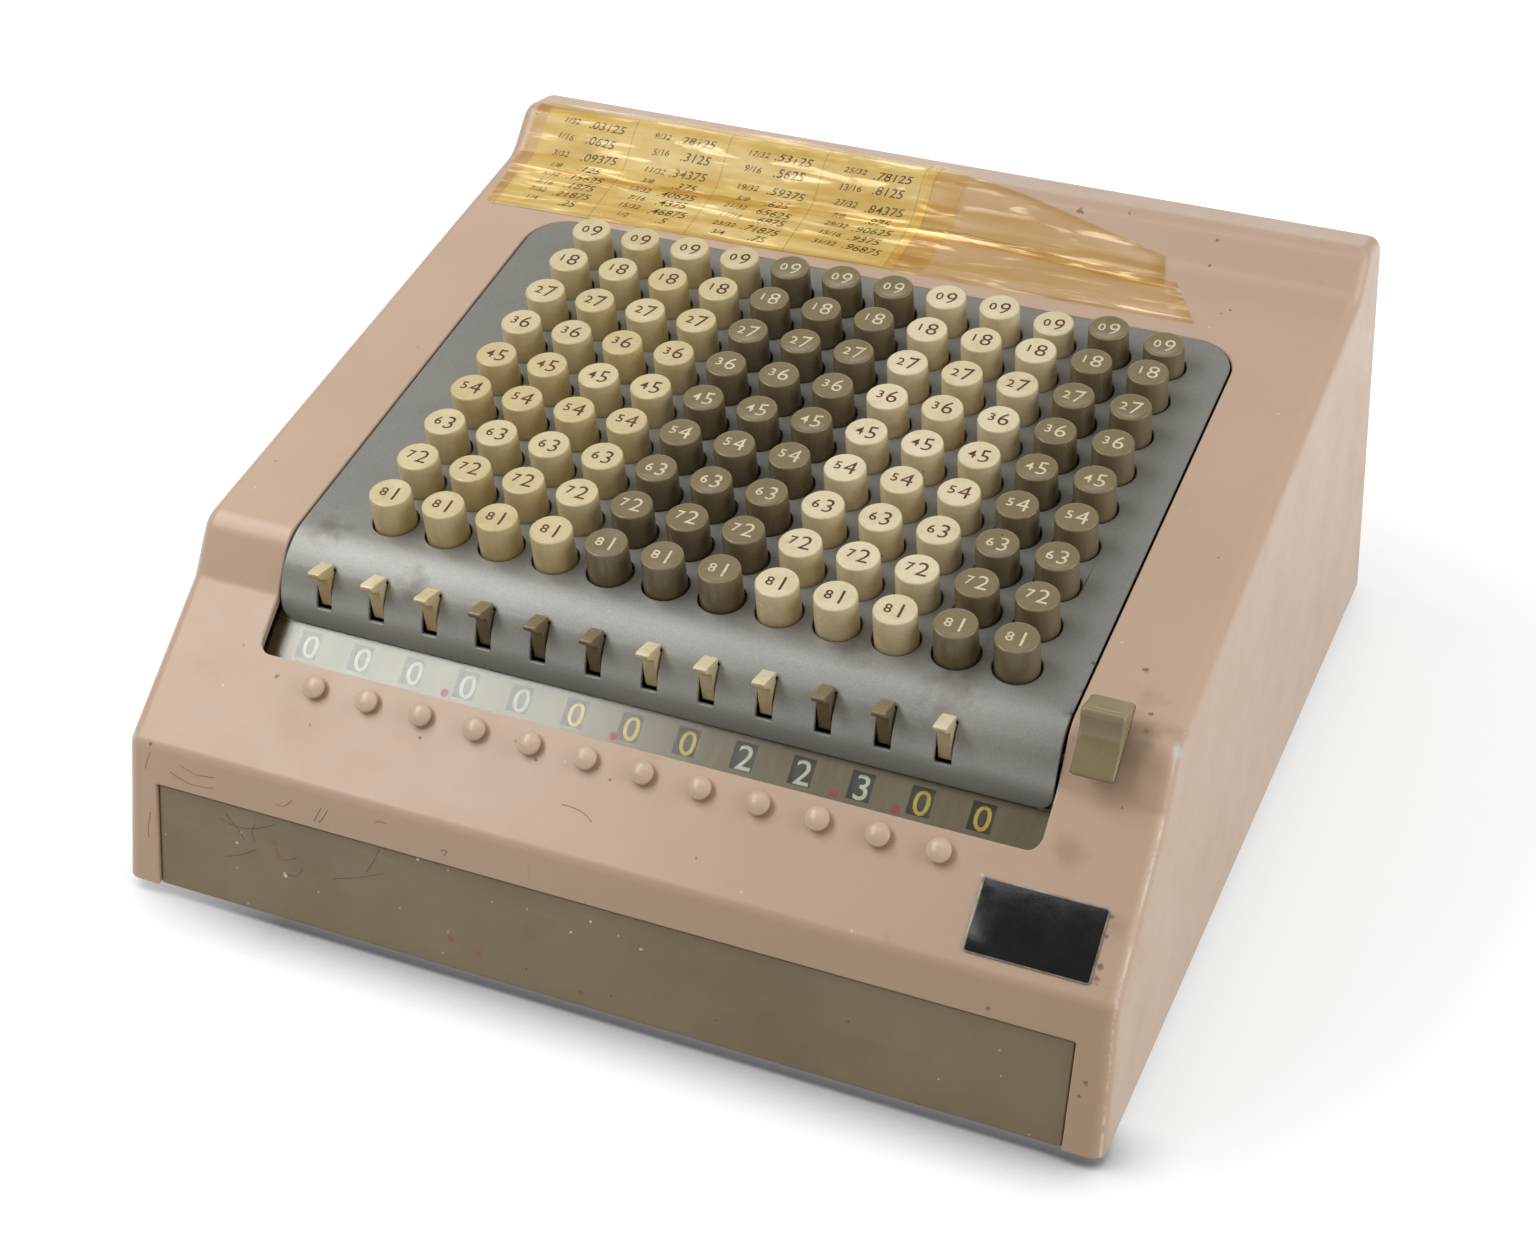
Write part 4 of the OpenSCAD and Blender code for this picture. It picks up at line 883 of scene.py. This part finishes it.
# stray pen strokes and scuffs: plane, ink, piece marked, and points across and up the plane
strokes = (("apron", "red", "casing", ((-14.6, 15.5), (-10.3, 15.6), (-6.0, 14.4), (-3.5, 12.6))),
           ("front", "red", "front_panel",
            ((-110.9, -23.3), (-110.0, -27.1), (-108.6, -30.0), (-105.8, -29.1), (-102.6, -27.5))),
           ("front", "blue", "front_panel",
            ((-117.8, -19.0), (-119.3, -21.9), (-119.0, -24.0), (-118.3, -26.0))),
           ("front", "brown", "front_panel",
            ((-72.7, -15.9), (-74.9, -20.9), (-76.0, -23.0), (-77.3, -25.3))),
           ("front", "brown", "front_panel",
            ((-131.1, -20.8), (-126.8, -22.4), (-120.7, -22.0), (-114.3, -19.6), (-110.3, -17.3))),
           ("front", "brown", "front_panel",
            ((-128.9, -18.7), (-126.5, -21.0), (-124.7, -22.5), (-122.1, -26.5))),
           ("front", "blue", "casing", ((-92.9, -6.0), (-94.4, -8.9), (-95.0, -10.0), (-95.5, -11.6))),
           ("front", "blue", "casing", ((-90.7, -6.3), (-92.0, -9.1), (-93.0, -10.4), (-93.8, -11.6))),
           ("front", "red", "casing", ((-73.6, -5.8), (-72.5, -5.3), (-71.5, -5.1), (-69.4, -5.1))),
           ("front", "blue", "front_panel",
            ((-107.0, -34.4), (-104.3, -34.9), (-101.9, -33.6), (-100.6, -30.9))),
           ("front", "brown", "front_panel",
            ((-129.3, -34.5), (-126.0, -33.2), (-123.3, -32.1), (-117.7, -28.7))),
           ("front", "red", "casing", ((-156.2, -3.0), (-157.0, -5.5), (-157.8, -7.5), (-158.1, -9.5))),
           ("front", "red", "casing",
            ((-156.7, -25.0), (-157.9, -30.5), (-158.0, -32.0), (-157.7, -34.9))),
           ("front", "red", "casing", ((-148.7, -8.2), (-143.6, -10.6), (-137.2, -10.7), (-132.4, -9.7))),
           ("front", "red", "casing", ((-145.0, -4.8), (-141.0, -6.2), (-138.7, -6.8), (-132.0, -5.9))),
           ("front", "red", "casing", ((-109.4, -9.0), (-107.5, -9.5), (-106.4, -9.4), (-103.4, -6.1))),
           ("front", "blue", "casing", ((-50.4, -9.3), (-48.6, -8.5), (-48.4, -9.6), (-49.2, -10.8))),
           ("front", "brown", "front_panel",
            ((-89.4, -31.2), (-84.0, -29.6), (-80.1, -28.2), (-71.2, -24.1))))
strokeWidth = 0.11
parts = {"red": [], "blue": [], "brown": []}
for plane, ink, target, points in strokes:
    deselectAll()
    bpy.ops.curve.primitive_nurbs_path_add(radius=1, location=(0, 0, 0))
    stroke = bpy.context.object
    line = stroke.data.splines[0]
    for i, spot in enumerate(line.points):
        x, y = points[min(i, len(points) - 1)]
        spot.co = (x * mm, y * mm, 0, 1)
    line.order_u = 3
    line.resolution_u = 8
    bpy.ops.object.convert(target="MESH")
    stroke.data.transform(frontFrame if plane == "front" else apronFrame)
    applyModifier(stroke, "SHRINKWRAP", target=shell[target], wrap_method="NEAREST_SURFACEPOINT",
                  offset=0)
    pick(stroke)
    bpy.ops.object.convert(target="CURVE")
    stroke.data.bevel_depth = strokeWidth * mm
    stroke.data.bevel_resolution = 1
    bpy.ops.object.convert(target="MESH")
    parts[ink].append(stroke)
for ink, drawn in parts.items():
    settle(joinAll(ink + "Strokes", drawn), "chassis", penInks[ink], "brown_plastic")
print("pen strokes done")

# floor, light and camera
studio = {"world": 0.27, "warm": (1.0, 0.92, 0.8, 1.0), "floorBounce": (0.46, 0.42, 0.36, 1.0),
          "floorSeen": 0.5, "floorGlow": 0.6, "floorFar": 0.45,
          "top": {"at": (-0.72, -0.47, 1.05), "aim": (-0.72, -0.47, 0.0), "size": (0.52, 1.24),
                  "power": 11.2},
          "strip": {"at": (-0.12, -0.2, 1.05), "aim": (-0.12, -0.2, 0.0), "size": (1.0, 0.24),
                    "power": 1.7},
          "side": {"at": (1.4, -0.02, 0.6), "aim": (0.0, 0.0, 0.08), "size": (1.2, 1.1), "power": 12.3},
          "rear": {"at": (-0.4, 1.5, 0.7), "aim": (0.0, 0.1, 0.1), "size": (1.2, 0.9), "power": 3.6}}
deselectAll()
bpy.ops.mesh.primitive_plane_add(size=12, location=(0, 0, 0))
floor = bpy.context.object
floor.name = "floor"
floorPaint, tree, shader, where = newMaterial("paleStudioFloor", "#ffffff", 0.9)
path = addNode(tree, "LightPath")
seen = addNode(tree, "Math", {0: path.outputs["Is Camera Ray"], 1: path.outputs["Is Glossy Ray"]},
               operation="MAXIMUM")
seenAll = addNode(tree, "Math", {0: seen, 1: path.outputs["Is Transmission Ray"]}, operation="MAXIMUM")
# white paper sweep; the soft shadow in front of the machine is deepened where the floor is closed in
closed = addNode(tree, "AmbientOcclusion", {"Distance": 0.034}, samples=16)
shade = addNode(tree, "MapRange", {0: closed.outputs["AO"], 1: 0.45, 2: 0.9, 3: 0.16, 4: 1.0})
spot = addNode(tree, "SeparateXYZ", {0: where})
front = addNode(tree, "MapRange", {0: spot.outputs[1], 1: -0.165, 2: -0.145, 3: 1.0, 4: 0.1})
inward = addNode(tree, "MapRange", {0: spot, 1: -0.17, 2: -0.11, 3: 0.25, 4: 1.0})
deep = addNode(tree, "Math", {0: front, 1: inward}, operation="MULTIPLY")
shadow = addNode(tree, "MapRange", {0: deep, 3: 1.0, 4: shade})
level = addNode(tree, "Math", {0: shadow, 1: studio["floorSeen"]}, operation="MULTIPLY")
colour = addNode(tree, "Mix", {0: seenAll, 6: studio["floorBounce"], 7: level}, data_type="RGBA")
away = addNode(tree, "VectorMath", {0: where}, operation="LENGTH")
far = addNode(tree, "MapRange",
              {0: away.outputs["Value"], 1: 0.25, 2: 0.8, 3: 0.0, 4: studio["floorFar"]})
glowLevel = addNode(tree, "Math", {0: shadow, 1: studio["floorGlow"], 2: far}, operation="MULTIPLY_ADD")
glow = addNode(tree, "Math", {0: seenAll, 1: glowLevel}, operation="MULTIPLY")
fill(tree, shader,
     {"Specular IOR Level": 0.0, "Base Color": colour.outputs[2], "Emission Color": "#ffffff",
      "Emission Strength": glow})
floor.data.materials.append(floorPaint)

world = bpy.data.worlds.new("studio")
bpy.context.scene.world = world
world.use_nodes = True
tree = world.node_tree
backdrop = tree.nodes["Background"]
path = addNode(tree, "LightPath")
seen = addNode(tree, "Math", {0: path.outputs["Is Camera Ray"], 1: path.outputs["Is Transmission Ray"]},
               operation="MAXIMUM")
strength = addNode(tree, "MapRange", {0: seen, 3: studio["world"], 4: 1.0})
tone = addNode(tree, "Mix", {0: seen, 6: studio["warm"], 7: (1, 1, 1, 1)}, data_type="RGBA")
fill(tree, backdrop, {"Color": tone.outputs[2], "Strength": strength})

for name in ("top", "strip", "side", "rear"):
    setting = studio[name]
    lamp = bpy.data.lights.new(name + "Softbox", "AREA")
    lamp.shape = "RECTANGLE"
    lamp.size, lamp.size_y = setting["size"]
    lamp.energy = setting["power"]
    holder = bpy.data.objects.new(name + "Softbox", lamp)
    aim = (Vector(setting["aim"]) - Vector(setting["at"])).to_track_quat("-Z", "Y").to_matrix().to_4x4()
    holder.matrix_world = Matrix.Translation(setting["at"]) @ aim
    bpy.context.scene.collection.objects.link(holder)

viewpoint = {"at": (293.06, -710.42, 563.22), "forward": (-0.32375, 0.7617, -0.56125),
             "right": (0.92048, 0.39079, -0.0006), "lens": 62.42}
camera = bpy.data.objects.new("photoCamera", bpy.data.cameras.new("photoCamera"))
camera.data.sensor_fit = "HORIZONTAL"
camera.data.sensor_width = 36.0
camera.data.lens = viewpoint["lens"]
camera.data.clip_start = 0.01
right = Vector(viewpoint["right"]).normalized()
back = -Vector(viewpoint["forward"]).normalized()
up = back.cross(right).normalized()
turn = Matrix((right, up, back)).transposed().to_4x4()
camera.matrix_world = Matrix.Translation(Vector(viewpoint["at"]) * mm) @ turn
bpy.context.scene.collection.objects.link(camera)
bpy.context.scene.camera = camera
bpy.context.scene.view_settings.view_transform = "Standard"
print("floor, light and camera done")

deselectAll()
